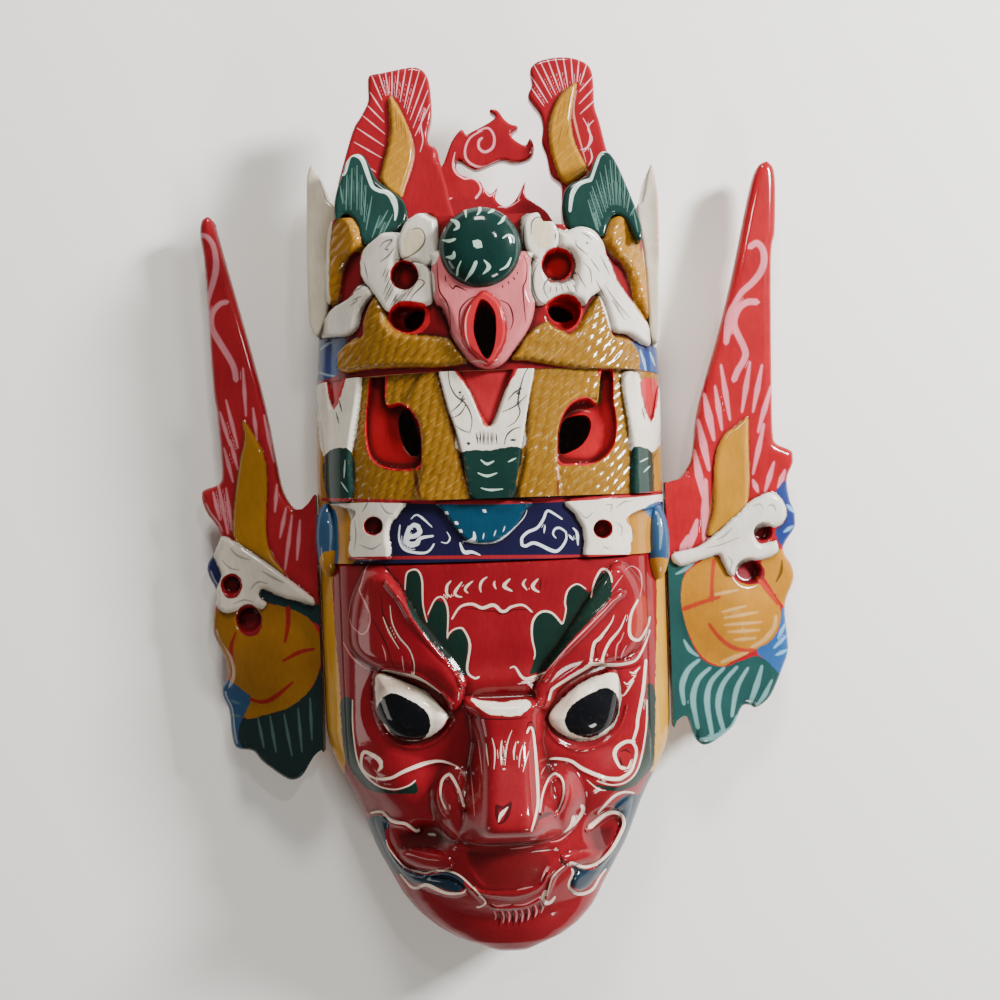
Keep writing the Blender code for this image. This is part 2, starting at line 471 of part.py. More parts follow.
def make_body(parts, cutters):
    """The face and crown in one hollowed log."""
    bare = log_place(WIDTH_AT, HALF_WIDTH, DEPTH_AT, DEPTH, RIM_HEIGHT)

    def carved(u, y):
        x, y, z = bare(u, y)
        return x, y, z + face_relief(x, y)

    rows = [CHIN_Y, CHIN_Y + CHIN_ROW] + steps(CHIN_Y + 2.0 * CHIN_ROW, BAND_Y - TIER_EDGE, FACE_ROW)
    rows += [BAND_Y, TIER_Y, TIER_Y + TIER_EDGE, TOP_TIER_Y, TOP_TIER_Y + TIER_EDGE, CROWN_END_Y]
    body = solid_from_grid("mask_body", FACE_COLUMNS, rows, carved, 0.0, parts)
    thin_out(body, LOG_TRIANGLES)

    # Raised carving on the crown
    for forms, depth in RAISED:
        for outline, lift in forms:
            arch = log_place(WIDTH_AT, HALF_WIDTH, DEPTH_AT, [depth + lift] * len(DEPTH_AT),
                             RIM_HEIGHT + lift)
            block = prism("raised", outline, RAISED_FLOOR, CUT_TOP, cutters)
            shell = solid_from_grid("shell", CROWN_COLUMNS, RAISED_ROWS, arch,
                                    RAISED_FLOOR - RAISED_SKIRT, cutters)
            combine(block, shell, "INTERSECT")
            combine(body, block, "UNION")

    # Free tips beyond the log's end
    for outline, top, drop, low, rise in TIPS:
        block = prism("tip", outline, 1.0, CUT_TOP, cutters)
        slab = solid_from_grid("slab", 1, (TIP_START, TIP_END),
                               lambda u, y: (u * TIP_REACH, y, top - drop * (y - CROWN_END_Y)),
                               0.0, cutters)
        under = solid_from_grid("under", 1, (TIP_START - TIP_MARGIN, TIP_END + TIP_MARGIN),
                                lambda u, y: (u * (TIP_REACH + TIP_MARGIN), y,
                                              low + rise * (y - CROWN_END_Y)),
                                -TIP_MARGIN, cutters)
        combine(slab, under, "DIFFERENCE")
        combine(block, slab, "INTERSECT")
        combine(body, block, "UNION")
    combine(body, ellipsoid("boss", BOSS[0], BOSS[1], 24, 10, cutters), "UNION")
    for middle, half_sizes in BEADS:
        combine(body, ellipsoid("bead", middle, half_sizes, 10, 8, cutters), "UNION")

    # The hollow, the recesses and the openings
    inner_width = [max(half - SIDE_WALL, 1.0) for half in HALF_WIDTH]
    inner_depth = [depth - FRONT_WALL for depth in DEPTH]
    hollow = solid_from_grid(
        "hollow", HOLLOW_COLUMNS, steps(CHIN_Y + END_WALL, CROWN_END_Y - END_WALL, HOLLOW_ROW),
        log_place(WIDTH_AT, inner_width, DEPTH_AT, inner_depth, HOLLOW_RIM), -HOLLOW_BELOW, cutters)
    combine(body, hollow, "DIFFERENCE")
    for outline, floor in RECESSES:
        combine(body, prism("recess", outline, floor, CUT_TOP, cutters), "DIFFERENCE")
    for middle, radius, floor in ROUND_RECESSES:
        outline = round_outline(middle, radius, radius)
        combine(body, prism("pit", outline, floor, CUT_TOP, cutters), "DIFFERENCE")
    for outline in OPENINGS:
        combine(body, prism("opening", outline, OPENING_FLOOR, CUT_TOP, cutters), "DIFFERENCE")
    for middle, half_x, half_y in EYE_OPENINGS:
        outline = round_outline(middle, half_x, half_y)
        combine(body, prism("opening", outline, OPENING_FLOOR, CUT_TOP, cutters), "DIFFERENCE")
    tidy(body)
    thin_out(body, BODY_TRIANGLES)
    tidy(body)
    return body


def make_ear(name, side, outline, ball, cloud, feather, pits, parts, cutters):
    """One ear wing: a board on its outline with domed and raised carving on its front."""
    left_end = min(point[0] for point in outline)
    right_end = max(point[0] for point in outline)
    low_end = min(point[1] for point in outline)
    high_end = max(point[1] for point in outline)
    half_log = np.interp(SEAT_Y, WIDTH_AT, HALF_WIDTH)
    seat = np.interp(SEAT_Y, MIDDLE_AT, MIDDLE) + side * (half_log + SEAT_GAP)
    outline = [(x if side * (x - seat) > 0.0 else seat, y) for x, y in outline]

    def across(u, margin):
        return (left_end + right_end) / 2.0 + u * ((right_end - left_end) / 2.0 + margin)

    def front(u, y):
        x = across(u, EAR_FRONT_MARGIN)
        z = EAR_FRONT - EAR_LEAN * (np.abs(x) - EAR_LEAN_FROM)
        within = inside_distance(x, y, outline)
        inner = side * (x - seat)
        near_log = EAR_EDGE_ROUND * (1.0 - inner / EAR_SEAT_BAND / 2.0)
        within = np.where(inner < EAR_SEAT_BAND, np.maximum(within, near_log), within)
        share = np.clip(within / EAR_EDGE_ROUND, 0.0, 1.0)
        z = z - EAR_EDGE_DROP * (1.0 - np.sqrt(1.0 - (1.0 - share) ** 2))
        z = z + puff(x, y, cloud, CLOUD_HEIGHT, EAR_FORM_ROUND)
        z = z + puff(x, y, feather, FEATHER_HEIGHT, EAR_FORM_ROUND)
        z = z + dome(x, y, ball[0], ball[1], ball[2])
        for middle, radius in pits:
            pit = radius + EAR_PIT_ROUND
            z = z - dome(x, y, middle, (pit, pit), EAR_PIT_DEPTH)
        return x, y, z

    def back(u, y):
        x = across(u, EAR_BACK_MARGIN)
        return x, y, EAR_FRONT - EAR_THICKNESS - EAR_LEAN * (np.abs(x) - EAR_LEAN_FROM)

    columns = int((right_end - left_end) / EAR_GRID)
    rows = steps(low_end - EAR_FRONT_MARGIN, high_end + EAR_FRONT_MARGIN, EAR_GRID * 1.5)
    ear = solid_from_grid(name, columns, rows, front, 1.0, parts)
    back_rows = (low_end - EAR_BACK_MARGIN, high_end + EAR_BACK_MARGIN)
    under = solid_from_grid("under", 1, back_rows, back, -EAR_FRONT_MARGIN, cutters)
    combine(ear, under, "DIFFERENCE")
    combine(ear, prism("outline", outline, 0.0, CUT_TOP, cutters), "INTERSECT")
    tidy(ear)
    thin_out(ear, EAR_TRIANGLES)
    tidy(ear)
    return ear


def main():
    for obj in list(bpy.data.objects):
        bpy.data.objects.remove(obj)
    scene = bpy.context.scene
    parts = bpy.data.collections.new("garuda_mask")
    cutters = bpy.data.collections.new("cutters")
    scene.collection.children.link(parts)
    scene.collection.children.link(cutters)
    cutters.hide_render = True
    body = make_body(parts, cutters)
    left = make_ear("left_ear_wing", -1, EAR_LEFT, EAR_BALL_LEFT, CLOUD_LEFT, FEATHER_LEFT,
                    EAR_PITS_LEFT, parts, cutters)
    right = make_ear("right_ear_wing", 1, EAR_RIGHT, EAR_BALL_RIGHT, CLOUD_RIGHT, FEATHER_RIGHT,
                     EAR_PITS_RIGHT, parts, cutters)
    body.data.materials.append(material("body_lacquer", LACQUER_RED))
    left.data.materials.append(material("left_ear_lacquer", EAR_RED))
    right.data.materials.append(material("right_ear_lacquer", EAR_RED))
    for obj in (body, left, right):
        for vert in obj.data.vertices:
            vert.co.x += SHIFT_X * MM
            vert.co.y += SHIFT_Y * MM
        obj.data.update()
        corners = np.array([vert.co[:] for vert in obj.data.vertices])
        print(obj.name, "triangles", len(obj.data.polygons), "box", corners.min(0), corners.max(0))


main()
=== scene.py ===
import bpy
import math
import numpy as np
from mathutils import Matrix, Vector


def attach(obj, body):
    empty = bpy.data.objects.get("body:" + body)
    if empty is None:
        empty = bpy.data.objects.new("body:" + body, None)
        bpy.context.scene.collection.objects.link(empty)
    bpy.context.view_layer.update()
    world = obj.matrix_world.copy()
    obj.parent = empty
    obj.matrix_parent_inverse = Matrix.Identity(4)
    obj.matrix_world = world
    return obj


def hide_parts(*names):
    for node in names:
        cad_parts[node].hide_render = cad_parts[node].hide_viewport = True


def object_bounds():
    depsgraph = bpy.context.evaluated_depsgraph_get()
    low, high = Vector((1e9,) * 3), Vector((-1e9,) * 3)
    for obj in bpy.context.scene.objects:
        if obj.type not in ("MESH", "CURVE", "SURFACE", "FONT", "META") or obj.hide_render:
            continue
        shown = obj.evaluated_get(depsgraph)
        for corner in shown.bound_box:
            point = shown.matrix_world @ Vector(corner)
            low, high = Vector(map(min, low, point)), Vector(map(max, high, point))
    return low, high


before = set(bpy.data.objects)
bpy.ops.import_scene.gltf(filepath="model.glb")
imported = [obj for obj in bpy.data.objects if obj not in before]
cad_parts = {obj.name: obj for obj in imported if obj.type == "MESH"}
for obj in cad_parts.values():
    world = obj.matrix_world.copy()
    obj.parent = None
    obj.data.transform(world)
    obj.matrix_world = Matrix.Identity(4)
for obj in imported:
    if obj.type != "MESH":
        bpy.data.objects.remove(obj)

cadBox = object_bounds()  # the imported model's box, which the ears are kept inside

# The carving is worked out in millimetres as it lies on its back: x to the right, y to the crown, z up.
# Shapes read off the drawing are in sheet units: 1000 across, seen from straight above at eyeHeight.
sheet = {"eyeHeight": 720.0, "reach": 1321.0, "turn": math.radians(2.0), "middle": 3.8,
         "shiftX": -3.0, "shiftY": 2.4}
# The half-log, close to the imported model's, with the chin's end as full as it looks from above. A blend gives
# the stretch over which the plain table gives way to its softened form.
log = {"rim": 20.0, "chinRim": 22.0, "chinRimAt": (-185.0, -225.0), "power": 2.3, "chinY": -228.8, "endY": 136.0,
       "fullHalf": 90.5, "band": 86.0, "tier": 90.0, "top": 92.0, "sideWall": 11.0, "frontWall": 20.0,
       "hollowRim": 6.0, "hollowHalf": 78.0, "hollowDepth": 66.0, "chinSolid": -214.8, "endSolid": 122.0,
       "solidStep": 0.02, "soften": 3.5, "widthBlend": (-216.0, -205.0), "depthBlend": (-214.0, -200.0),
       "widthAt": (-228.8, -226, -221, -216, -208, -199, -190, -180, -170, -159, -148, -140, -132, -124, -116, 0,
                   50, 85, 136),
       "halfWidth": (10, 16, 28.5, 37, 47, 53.8, 59.5, 65.3, 69.3, 73.3, 78.4, 83, 87, 89.6, 90.5, 90.5, 90,
                     88.5, 88),
       "middleAt": (-228, -200, -140, -116, 20, 85), "middle": (2.0, -2.0, -0.4, -1.2, -1.2, 0.2),
       "depthAt": (-228.8, -226.5, -222, -214, -203, -190, -170, -130, -100, -70, -29, -20),
       "depth": (46, 50, 54, 58, 62, 66, 70, 72, 76, 80, 82, 82)}


def smooth(low, high, value):
    # Rises from 0 at low to 1 at high with flat ends
    share = np.clip((value - low) / (high - low), 0.0, 1.0)
    return share * share * (3.0 - 2.0 * share)


def softened(at, values, width, step=0.5, tail=4):
    # A table of straight stretches with its corners rounded by a bell-shaped average of that width
    fine = np.arange(at[0] - tail * width, at[-1] + tail * width, step)
    line = np.interp(fine, at, values)
    bell = np.exp(-0.5 * (np.arange(-tail * width, tail * width + step, step) / width) ** 2)
    return fine, np.convolve(np.pad(line, len(bell) // 2, mode="edge"), bell / bell.sum(), mode="valid")[:len(fine)]


widthTable = softened(log["widthAt"], log["halfWidth"], log["soften"])
depthTable = softened(log["depthAt"][3:], log["depth"][3:], log["soften"])


def blended(y, at, values, table, blend):
    # Near the chin's end a table keeps its own quick curve, and beyond the blend it is softened
    share = smooth(*blend, y)
    return np.interp(y, at, values) * (1 - share) + np.interp(y, *table) * share


def halfWidth(y):
    # From the middle line to the side wall
    return blended(y, log["widthAt"], log["halfWidth"], widthTable, log["widthBlend"])


def middleLine(y):
    # The log bends a little: where its middle lies across
    return np.interp(y, log["middleAt"], log["middle"])


def faceDepth(y):
    # How high the bare log stands on its middle line, under the face
    return blended(y, log["depthAt"], log["depth"], depthTable, log["depthBlend"])


def rimAt(y):
    # The straight part of the side walls is twice as tall at the chin
    return log["rim"] + log["chinRim"] * smooth(*log["chinRimAt"], y)


def logArch(x, y):
    # 1 on the log's middle line, falling to 0 at its sides along a squared-off ellipse
    share = np.clip(np.abs(x - middleLine(y)) / halfWidth(y), 0.0, 1.0)
    return (1.0 - share ** log["power"]) ** (1.0 / log["power"])


def logHeight(x, y):
    # The bare half-log under the face: its rim, and the arch times the rest of its depth
    return rimAt(y) + (faceDepth(y) - rimAt(y)) * logArch(x, y)


def toSheet(x, y, z):
    # Where a point of the carving falls on the sheet
    scale = sheet["reach"] / (sheet["eyeHeight"] - z)
    across = (x - sheet["middle"]) * math.cos(sheet["turn"]) - y * math.sin(sheet["turn"])
    along = (x - sheet["middle"]) * math.sin(sheet["turn"]) + y * math.cos(sheet["turn"])
    return 500.0 + scale * across, 500.0 - scale * along


def placed(points):
    # Points as they are, or from one row of numbers: the first point and then the step to each next one
    points = np.array(points, float)
    return points if points.ndim == 2 else np.cumsum(points.reshape(-1, 2), axis=0)


def fromSheet(points, height, guess=60.0, rounds=30, pull=0.4):
    # The other way, for points of the surface z = height(x, y), in rounds that close in on it
    points = placed(points)
    z = np.full(len(points), guess)
    for turn in range(rounds):
        across = (points[:, 0] - 500.0) * (sheet["eyeHeight"] - z) / sheet["reach"]
        along = (500.0 - points[:, 1]) * (sheet["eyeHeight"] - z) / sheet["reach"]
        x = across * math.cos(sheet["turn"]) + along * math.sin(sheet["turn"]) + sheet["middle"]
        y = -across * math.sin(sheet["turn"]) + along * math.cos(sheet["turn"])
        z = (1 - pull) * z + pull * height(x, y)
    return np.stack([x, y], axis=1)


def drawn(points, closed=True, steps=4):
    # A smooth line through the points, by the Catmull-Rom formula on each four neighbours
    points = placed(points)
    count = len(points)
    index = np.arange(count if closed else count - 1)
    four = [points[(index + k) % count if closed else np.clip(index + k, 0, count - 1)] for k in (-1, 0, 1, 2)]
    t = (np.arange(steps) / steps)[None, :, None]
    a, b, c, d = [part[:, None, :] for part in four]
    line = 0.5 * (2 * b + (c - a) * t + (2 * a - 5 * b + 4 * c - d) * t ** 2 + (3 * b - a - 3 * c + d) * t ** 3)
    line = line.reshape(-1, 2)
    return line if closed else np.concatenate([line, points[-1:]])


def oval(x, y, halfX, halfY, count):
    # So many points evenly round an ellipse
    turn = np.arange(count) / count * math.tau
    return np.stack([x + halfX * np.cos(turn), y + halfY * np.sin(turn)], axis=1)


def insideDistance(x, y, outline, margin=8.0):
    # Distance to a closed outline, positive inside it; beyond the margin outside it stays at -margin
    outline = np.asarray(outline, float)
    result = np.full(np.shape(x), -margin)
    low, high = outline.min(0) - margin, outline.max(0) + margin
    near = (x > low[0]) & (x < high[0]) & (y > low[1]) & (y < high[1])
    px, py = x[near], y[near]
    nearest = np.full(px.shape, 1e9)
    crossings = np.zeros(px.shape, int)
    for (ax, ay), (bx, by) in zip(outline, np.roll(outline, -1, axis=0)):
        if ax == bx and ay == by:
            continue
        along = np.clip(((px - ax) * (bx - ax) + (py - ay) * (by - ay)) / ((bx - ax) ** 2 + (by - ay) ** 2), 0, 1)
        nearest = np.minimum(nearest, (px - ax - along * (bx - ax)) ** 2 + (py - ay - along * (by - ay)) ** 2)
        if ay != by:
            crossings += ((py < ay) != (py < by)) & (px < ax + (py - ay) / (by - ay) * (bx - ax))
    nearest = np.sqrt(nearest)
    result[near] = np.where(crossings % 2 == 1, nearest, -nearest)
    return np.maximum(result, -margin)


def strokesOf(lines, ticks=None):
    # Brush strokes with their half widths at the start, middle and end, from dictionaries of width to rows of
    # numbers. A single width narrows to 0.4 of it at both ends; a tick is four numbers, a point and one step.
    result = []
    rowsOf = [*lines.items()] + [(width, np.reshape(row, (-1, 4))) for width, row in (ticks or {}).items()]
    for width, rows in rowsOf:
        widths = (0.4 * width, width, 0.4 * width) if np.isscalar(width) else width
        result += [(row, widths) for row in rows]
    return result


def strokeField(x, y, strokes, margin=5.0, clear=2.0):
    # For each point, the signed distance to the nearest stroke's middle line and the half width there, which
    # runs below zero past the stroke's ends and is far below zero from a clear distance off every stroke
    side, half = np.full(np.shape(x), margin), np.full(np.shape(x), -2.0 * margin)
    for row, widths in strokes:
        line = drawn(row, closed=False)
        low, high = line.min(0) - margin, line.max(0) + margin
        near = (x > low[0]) & (x < high[0]) & (y > low[1]) & (y < high[1])
        px, py = x[near], y[near]
        if not px.size:
            continue
        lengths = np.maximum(np.hypot(*np.diff(line, axis=0).T), 1e-6)
        total, gone = lengths.sum(), 0.0
        nearest, mySide, myHalf = np.full(px.shape, 1e9), np.zeros(px.shape), np.zeros(px.shape)
        for k, length in enumerate(lengths):
            dx, dy = (line[k + 1] - line[k]) / length
            raw = (px - line[k, 0]) * dx + (py - line[k, 1]) * dy
            inner = np.clip(raw, 0.0, length)
            away = np.hypot(px - line[k, 0] - inner * dx, py - line[k, 1] - inner * dy)
            across = dx * (py - line[k, 1]) - dy * (px - line[k, 0])
            past = np.where(raw < 0, -raw, 0.0) if k == 0 else 0.0
            past = past + (np.where(raw > length, raw - length, 0.0) if k == len(lengths) - 1 else 0.0)
            better = away < nearest
            nearest = np.where(better, away, nearest)
            signed = np.where(past > 0, across, np.copysign(away, across))
            mySide = np.where(better, signed, mySide)
            width = np.interp((gone + inner) / total, (0.0, 0.5, 1.0), widths) - past
            myHalf = np.where(better, width, myHalf)
            gone += length
        old = half[near] - np.abs(side[near])
        new = myHalf - np.abs(mySide)
        win = (new > old) & (nearest < margin)
        side[near] = np.where(win, mySide, side[near])
        half[near] = np.where(win, myHalf, half[near])
    return side, np.where(np.abs(side) > np.maximum(half, 0.0) + clear, -2.0 * margin, half)


# The gold's two sets of slanting cuts: their slants in degrees, spacings and slow waves on the sheet, the depth
# in millimetres, the second set's share of it, and the paler colour on the ridges, partly a lighter gold and
# partly a painted highlight where the ridges catch the light
goldLook = {"lean": 38.0, "steep": 14.0, "leanStep": 7.4, "steepStep": 9.0, "waves": ((1.2, 11.0), (1.4, 17.0)),
            "depth": 0.42, "steepShare": 0.6, "sharpness": 3, "edge": (-0.5, 1.5), "ridge": "#C79C4A",
            "ridgeShare": 0.45}


def lattice(across, along):
    # Both sets counted in cuts: a point's distance across the slanted lines over their spacing
    lean, steep = math.radians(goldLook["lean"]), math.radians(goldLook["steep"])
    (highA, longA), (highB, longB) = goldLook["waves"]
    bend = highA * np.sin(across / longA) + highB * np.sin(along / longB + 1.0)
    return ((across * math.sin(lean) + along * math.cos(lean) + bend) / goldLook["leanStep"],
            (across * math.cos(steep) + along * math.sin(steep) - bend) / goldLook["steepStep"])


def puff(distance, height, edge):
    # A flat top with a quarter-round edge inside its outline
    share = np.clip(distance / edge, 0.0, 1.0)
    return height * np.sqrt(1.0 - (1.0 - share) ** 2)


def dome(x, y, middle, halfSizes, height):
    # A soft mound that fades to nothing at its half sizes
    away = ((x - middle[0]) / halfSizes[0]) ** 2 + ((y - middle[1]) / halfSizes[1]) ** 2
    return height * np.clip(1.0 - away, 0.0, 1.0) ** 1.5


def blurred(grid, steps):
    # A bell-shaped average over so many grid steps each way
    reach = 3 * steps
    bell = np.exp(-0.5 * (np.arange(-reach, reach + 1) / steps) ** 2)
    bell /= bell.sum()
    for axis in (0, 1):
        wide = np.pad(grid, [(reach, reach) if a == axis else (0, 0) for a in (0, 1)], mode="edge")
        grid = sum(weight * np.take(wide, np.arange(grid.shape[axis]) + k, axis=axis)
                   for k, weight in enumerate(bell))
    return grid


sharpAngle = 50.0


def makePiece(name, points, faces, materials, slots=None):
    # A mesh object from points in millimetres of the drawing and rows of corner numbers
    mesh = bpy.data.meshes.new(name)
    place = (np.asarray(points, float) + (sheet["shiftX"], sheet["shiftY"], 0.0)) * 0.001
    corners = np.concatenate([part.ravel() for part in faces])
    sizes = np.concatenate([np.full(len(part), part.shape[1]) for part in faces])
    mesh.vertices.add(len(place))
    mesh.vertices.foreach_set("co", place.astype(np.float32).ravel())
    mesh.loops.add(len(corners))
    mesh.loops.foreach_set("vertex_index", corners.astype(np.int32))
    mesh.polygons.add(len(sizes))
    mesh.polygons.foreach_set("loop_start", np.concatenate([[0], np.cumsum(sizes)[:-1]]).astype(np.int32))
    mesh.update(calc_edges=True)
    for material in materials:
        mesh.materials.append(material)
    if slots is not None:
        mesh.polygons.foreach_set("material_index", np.asarray(slots, np.int32))
    finishMesh(mesh, sharpAngle)
    piece = bpy.data.objects.new(name, mesh)
    bpy.context.scene.collection.objects.link(piece)
    return piece


def finishMesh(mesh, sharp):
    # Smooth shading with hard edges where two faces meet at more than that angle
    mesh.validate()
    mesh.polygons.foreach_set("use_smooth", np.ones(len(mesh.polygons), bool))
    mesh.set_sharp_from_angle(angle=math.radians(sharp))


def addField(piece, name, values):
    # A number for every vertex, which a material can read by name
    mesh = piece.data
    field = mesh.attributes.get(name) or mesh.attributes.new(name, "FLOAT", "POINT")
    field.data.foreach_set("value", np.ascontiguousarray(values, np.float32).ravel())


def carverPoints(piece):
    # The piece's points back in millimetres of the drawing
    flat = np.zeros(len(piece.data.vertices) * 3, np.float32)
    piece.data.vertices.foreach_get("co", flat)
    return flat.reshape(-1, 3).astype(float) * 1000.0 - (sheet["shiftX"], sheet["shiftY"], 0.0)


def logProfile(w, half, depth, rim):
    # The log's section: w from -1 to 1 goes over the arch, and on to -2 or 2 down the straight sides
    turn = np.clip(w, -1.0, 1.0) * math.pi / 2
    side = np.sign(turn) * np.abs(np.sin(turn)) ** (2 / log["power"])
    arch = np.clip(np.cos(turn), 0.0, 1.0) ** (2 / log["power"])
    drop = np.clip(np.abs(w) - 1.0, 0.0, 1.0)
    return half * side, rim * (1.0 - drop) + (depth - rim) * arch


def sectionColumns(count, half, depth, rim, lowShare, samples=8001):
    # Columns evenly spaced along the section, but only lowShare as close below half its depth
    w = np.linspace(-2.0, 2.0, samples)
    x, z = logProfile(w, half, depth, rim)
    weight = np.where(z[1:] > 0.5 * depth, 1.0, lowShare)
    run = np.concatenate([[0.0], np.cumsum(np.hypot(np.diff(x), np.diff(z)) * weight)])
    return np.interp(np.linspace(0.0, run[-1], count), run, w)


def sheetFaces(rows, columns, start=0, upward=True):
    # The squares of a grid whose points are numbered row by row
    corner = start + (np.arange(rows - 1)[:, None] * columns + np.arange(columns - 1)[None, :]).ravel()
    quads = np.stack([corner, corner + 1, corner + columns + 1, corner + columns], axis=1)
    return quads if upward else quads[:, ::-1]


def bridge(fine, coarse):
    # Triangles between a fine border and a coarse one that run the same way round
    each = (len(fine) - 1) // (len(coarse) - 1)
    number = np.arange(len(fine) - 1)
    apex = coarse[number // each + (number % each >= each // 2)]
    middle = np.arange(len(coarse) - 1) * each + each // 2
    return np.concatenate([np.stack([fine[:-1], apex, fine[1:]], axis=1),
                           np.stack([fine[middle], coarse[:-1], coarse[1:]], axis=1)])


def borders(rows, columns, start=0):
    # The four edges of a grid, counterclockwise from its lower left corner
    grid = start + np.arange(rows * columns).reshape(rows, columns)
    return grid[0, :], grid[:, -1], grid[-1, ::-1], grid[::-1, 0]


def hollowedPiece(name, outer, inner, materials):
    # A closed shell: the fine carved front, the coarse hollow behind it, and the walls that join their borders
    rows, columns = outer.shape[:2]
    innerRows, innerColumns = inner.shape[:2]
    start = rows * columns
    front = sheetFaces(rows, columns)
    back = sheetFaces(innerRows, innerColumns, start, upward=False)
    walls = np.concatenate([bridge(a, b) for a, b in zip(borders(rows, columns),
                                                        borders(innerRows, innerColumns, start))])
    points = np.concatenate([outer.reshape(-1, 3), inner.reshape(-1, 3)])
    slots = np.concatenate([np.zeros(len(front), int), np.ones(len(back) + len(walls), int)])
    return makePiece(name, points, [front, back, walls], materials, slots)


def stepAt(rows, level):
    # Brings the two rows nearest to a level together, so that the hollow's floor steps there
    near = np.argsort(np.abs(rows - level))[:2]
    rows[near.min()], rows[near.max()] = level - log["solidStep"], level


def hollowSheet(rowsAt, count, depthAt):
    # The hollow's own half-log arch, flat on the floor where the wood stays whole
    w = sectionColumns(count, log["hollowHalf"], log["hollowDepth"], log["hollowRim"], 1.0)
    y = np.repeat(np.asarray(rowsAt, float)[:, None], count, axis=1)
    half = np.maximum(halfWidth(y) - log["sideWall"], 1.0)
    x, z = logProfile(w[None, :], half, depthAt(y) - log["frontWall"], log["hollowRim"])
    onStep = log["solidStep"] / 2
    z = np.where((y < log["chinSolid"] - onStep) | (y > log["endSolid"] - onStep), 0.0, z)
    return np.stack([x + middleLine(y), y, z], axis=2)


def goldCuts(across, along, coats):
    # Rows of pillows between the lattice's cuts, wherever the gold with the lattice isn't painted over
    share, depth = np.zeros(np.shape(across)), 0.0
    for coat in coats.values():
        for area in coat.get("areas", []):
            inside = smooth(*goldLook["edge"], insideDistance(across, along, drawn(area)))
            share = np.maximum(share, inside) if coat.get("lattice") else share * (1.0 - inside)
    for turns, part in zip(lattice(across, along), (1.0, goldLook["steepShare"])):
        depth = depth + part * np.abs(np.cos(math.pi * turns)) ** goldLook["sharpness"]
    return goldLook["depth"] * share * depth


def paintFields(piece, coats, painted=None, sideEdge=0.32, outside=-8.0):
    # Each coat's areas and brush strokes, as distances on the sheet for every vertex. Of a board only its upper
    # face, the first so many vertices, is painted; down the log's sides the colours run on from its edge.
    points = carverPoints(piece)
    count = len(points)
    hidden = np.arange(count) >= (count if painted is None else painted)
    if painted is None:
        edge = log["rim"] + sideEdge * (faceDepth(points[:, 1]) - log["rim"])
        points[:, 2] = np.maximum(points[:, 2], edge)
    across, along = toSheet(points[:, 0], points[:, 1], points[:, 2])
    for name, coat in coats.items():
        if "areas" in coat:
            field = np.full(count, outside)
            for area in coat["areas"]:
                field = np.maximum(field, insideDistance(across, along, drawn(area)))
            addField(piece, name + "Area", np.where(hidden, outside, field + coat.get("grow", 0.0)))
        if "lines" in coat or "ticks" in coat:
            side, half = strokeField(across, along, strokesOf(coat.get("lines", {}), coat.get("ticks")))
            addField(piece, name + "Side", side)
            addField(piece, name + "Half", np.where(hidden, outside, half))
        if "lattice" in coat:
            for field, values in zip(("latticeU", "latticeV"), lattice(across, along)):
                addField(piece, field, values)


def addNode(tree, kind, inputs=None, output=0, **settings):
    # One shader node with its settings; an input given a socket is linked to it. Gives back one output.
    node = tree.nodes.new("ShaderNode" + kind)
    for name, value in settings.items():
        setattr(node, name, value)
    for name, value in (inputs or {}).items():
        if isinstance(value, bpy.types.NodeSocket):
            tree.links.new(value, node.inputs[name])
        else:
            node.inputs[name].default_value = value
    return node.outputs[output]


def linearColour(text):
    # A hex colour as the screen shows it, turned to the linear values that Blender works in
    parts = [int(text[k:k + 2], 16) / 255.0 for k in (1, 3, 5)]
    return (*[v / 12.92 if v <= 0.04045 else ((v + 0.055) / 1.055) ** 2.4 for v in parts], 1.0)


# Painted wood under thick spirit varnish: flat brush-laid colours with soft mottling, sharp window-like
# glints from the varnish, dirt with painted shade in the cuts and a few rubbed edges. Sizes and heights are in
# millimetres; a pair gives the values of a noise between which something sets in.
lacquerLook = {"edge": 0.4, "lineEdge": 0.6, "wobble": 0.7, "wobbleSize": 3.0, "wobbleFrom": (0.25, 0.75),
               "mottle": 0.16, "mottleSize": 22.0, "mottleFrom": (0.3, 0.7), "brush": 0.06, "brushSize": 1.6,
               "brushPull": 0.25, "roughness": (0.42, 0.6), "roughFrom": (0.35, 1.0), "roughGrimeAndShade": 0.6,
               "specular": 0.04, "coat": 0.55, "coatRoughness": 0.07, "bump": 0.12, "bumpSize": 2.4,
               "ripple": 0.05, "grimeAndShade": "#1C0D0A", "grimeAndShadeShare": 0.75, "rubbed": "#B98A6B", "wear": 0.07,
               "wearFrom": (0.57, 0.7), "patchFrom": (0.38, 0.6), "ridgeHighlightFrom": (0.06, 0.14)}


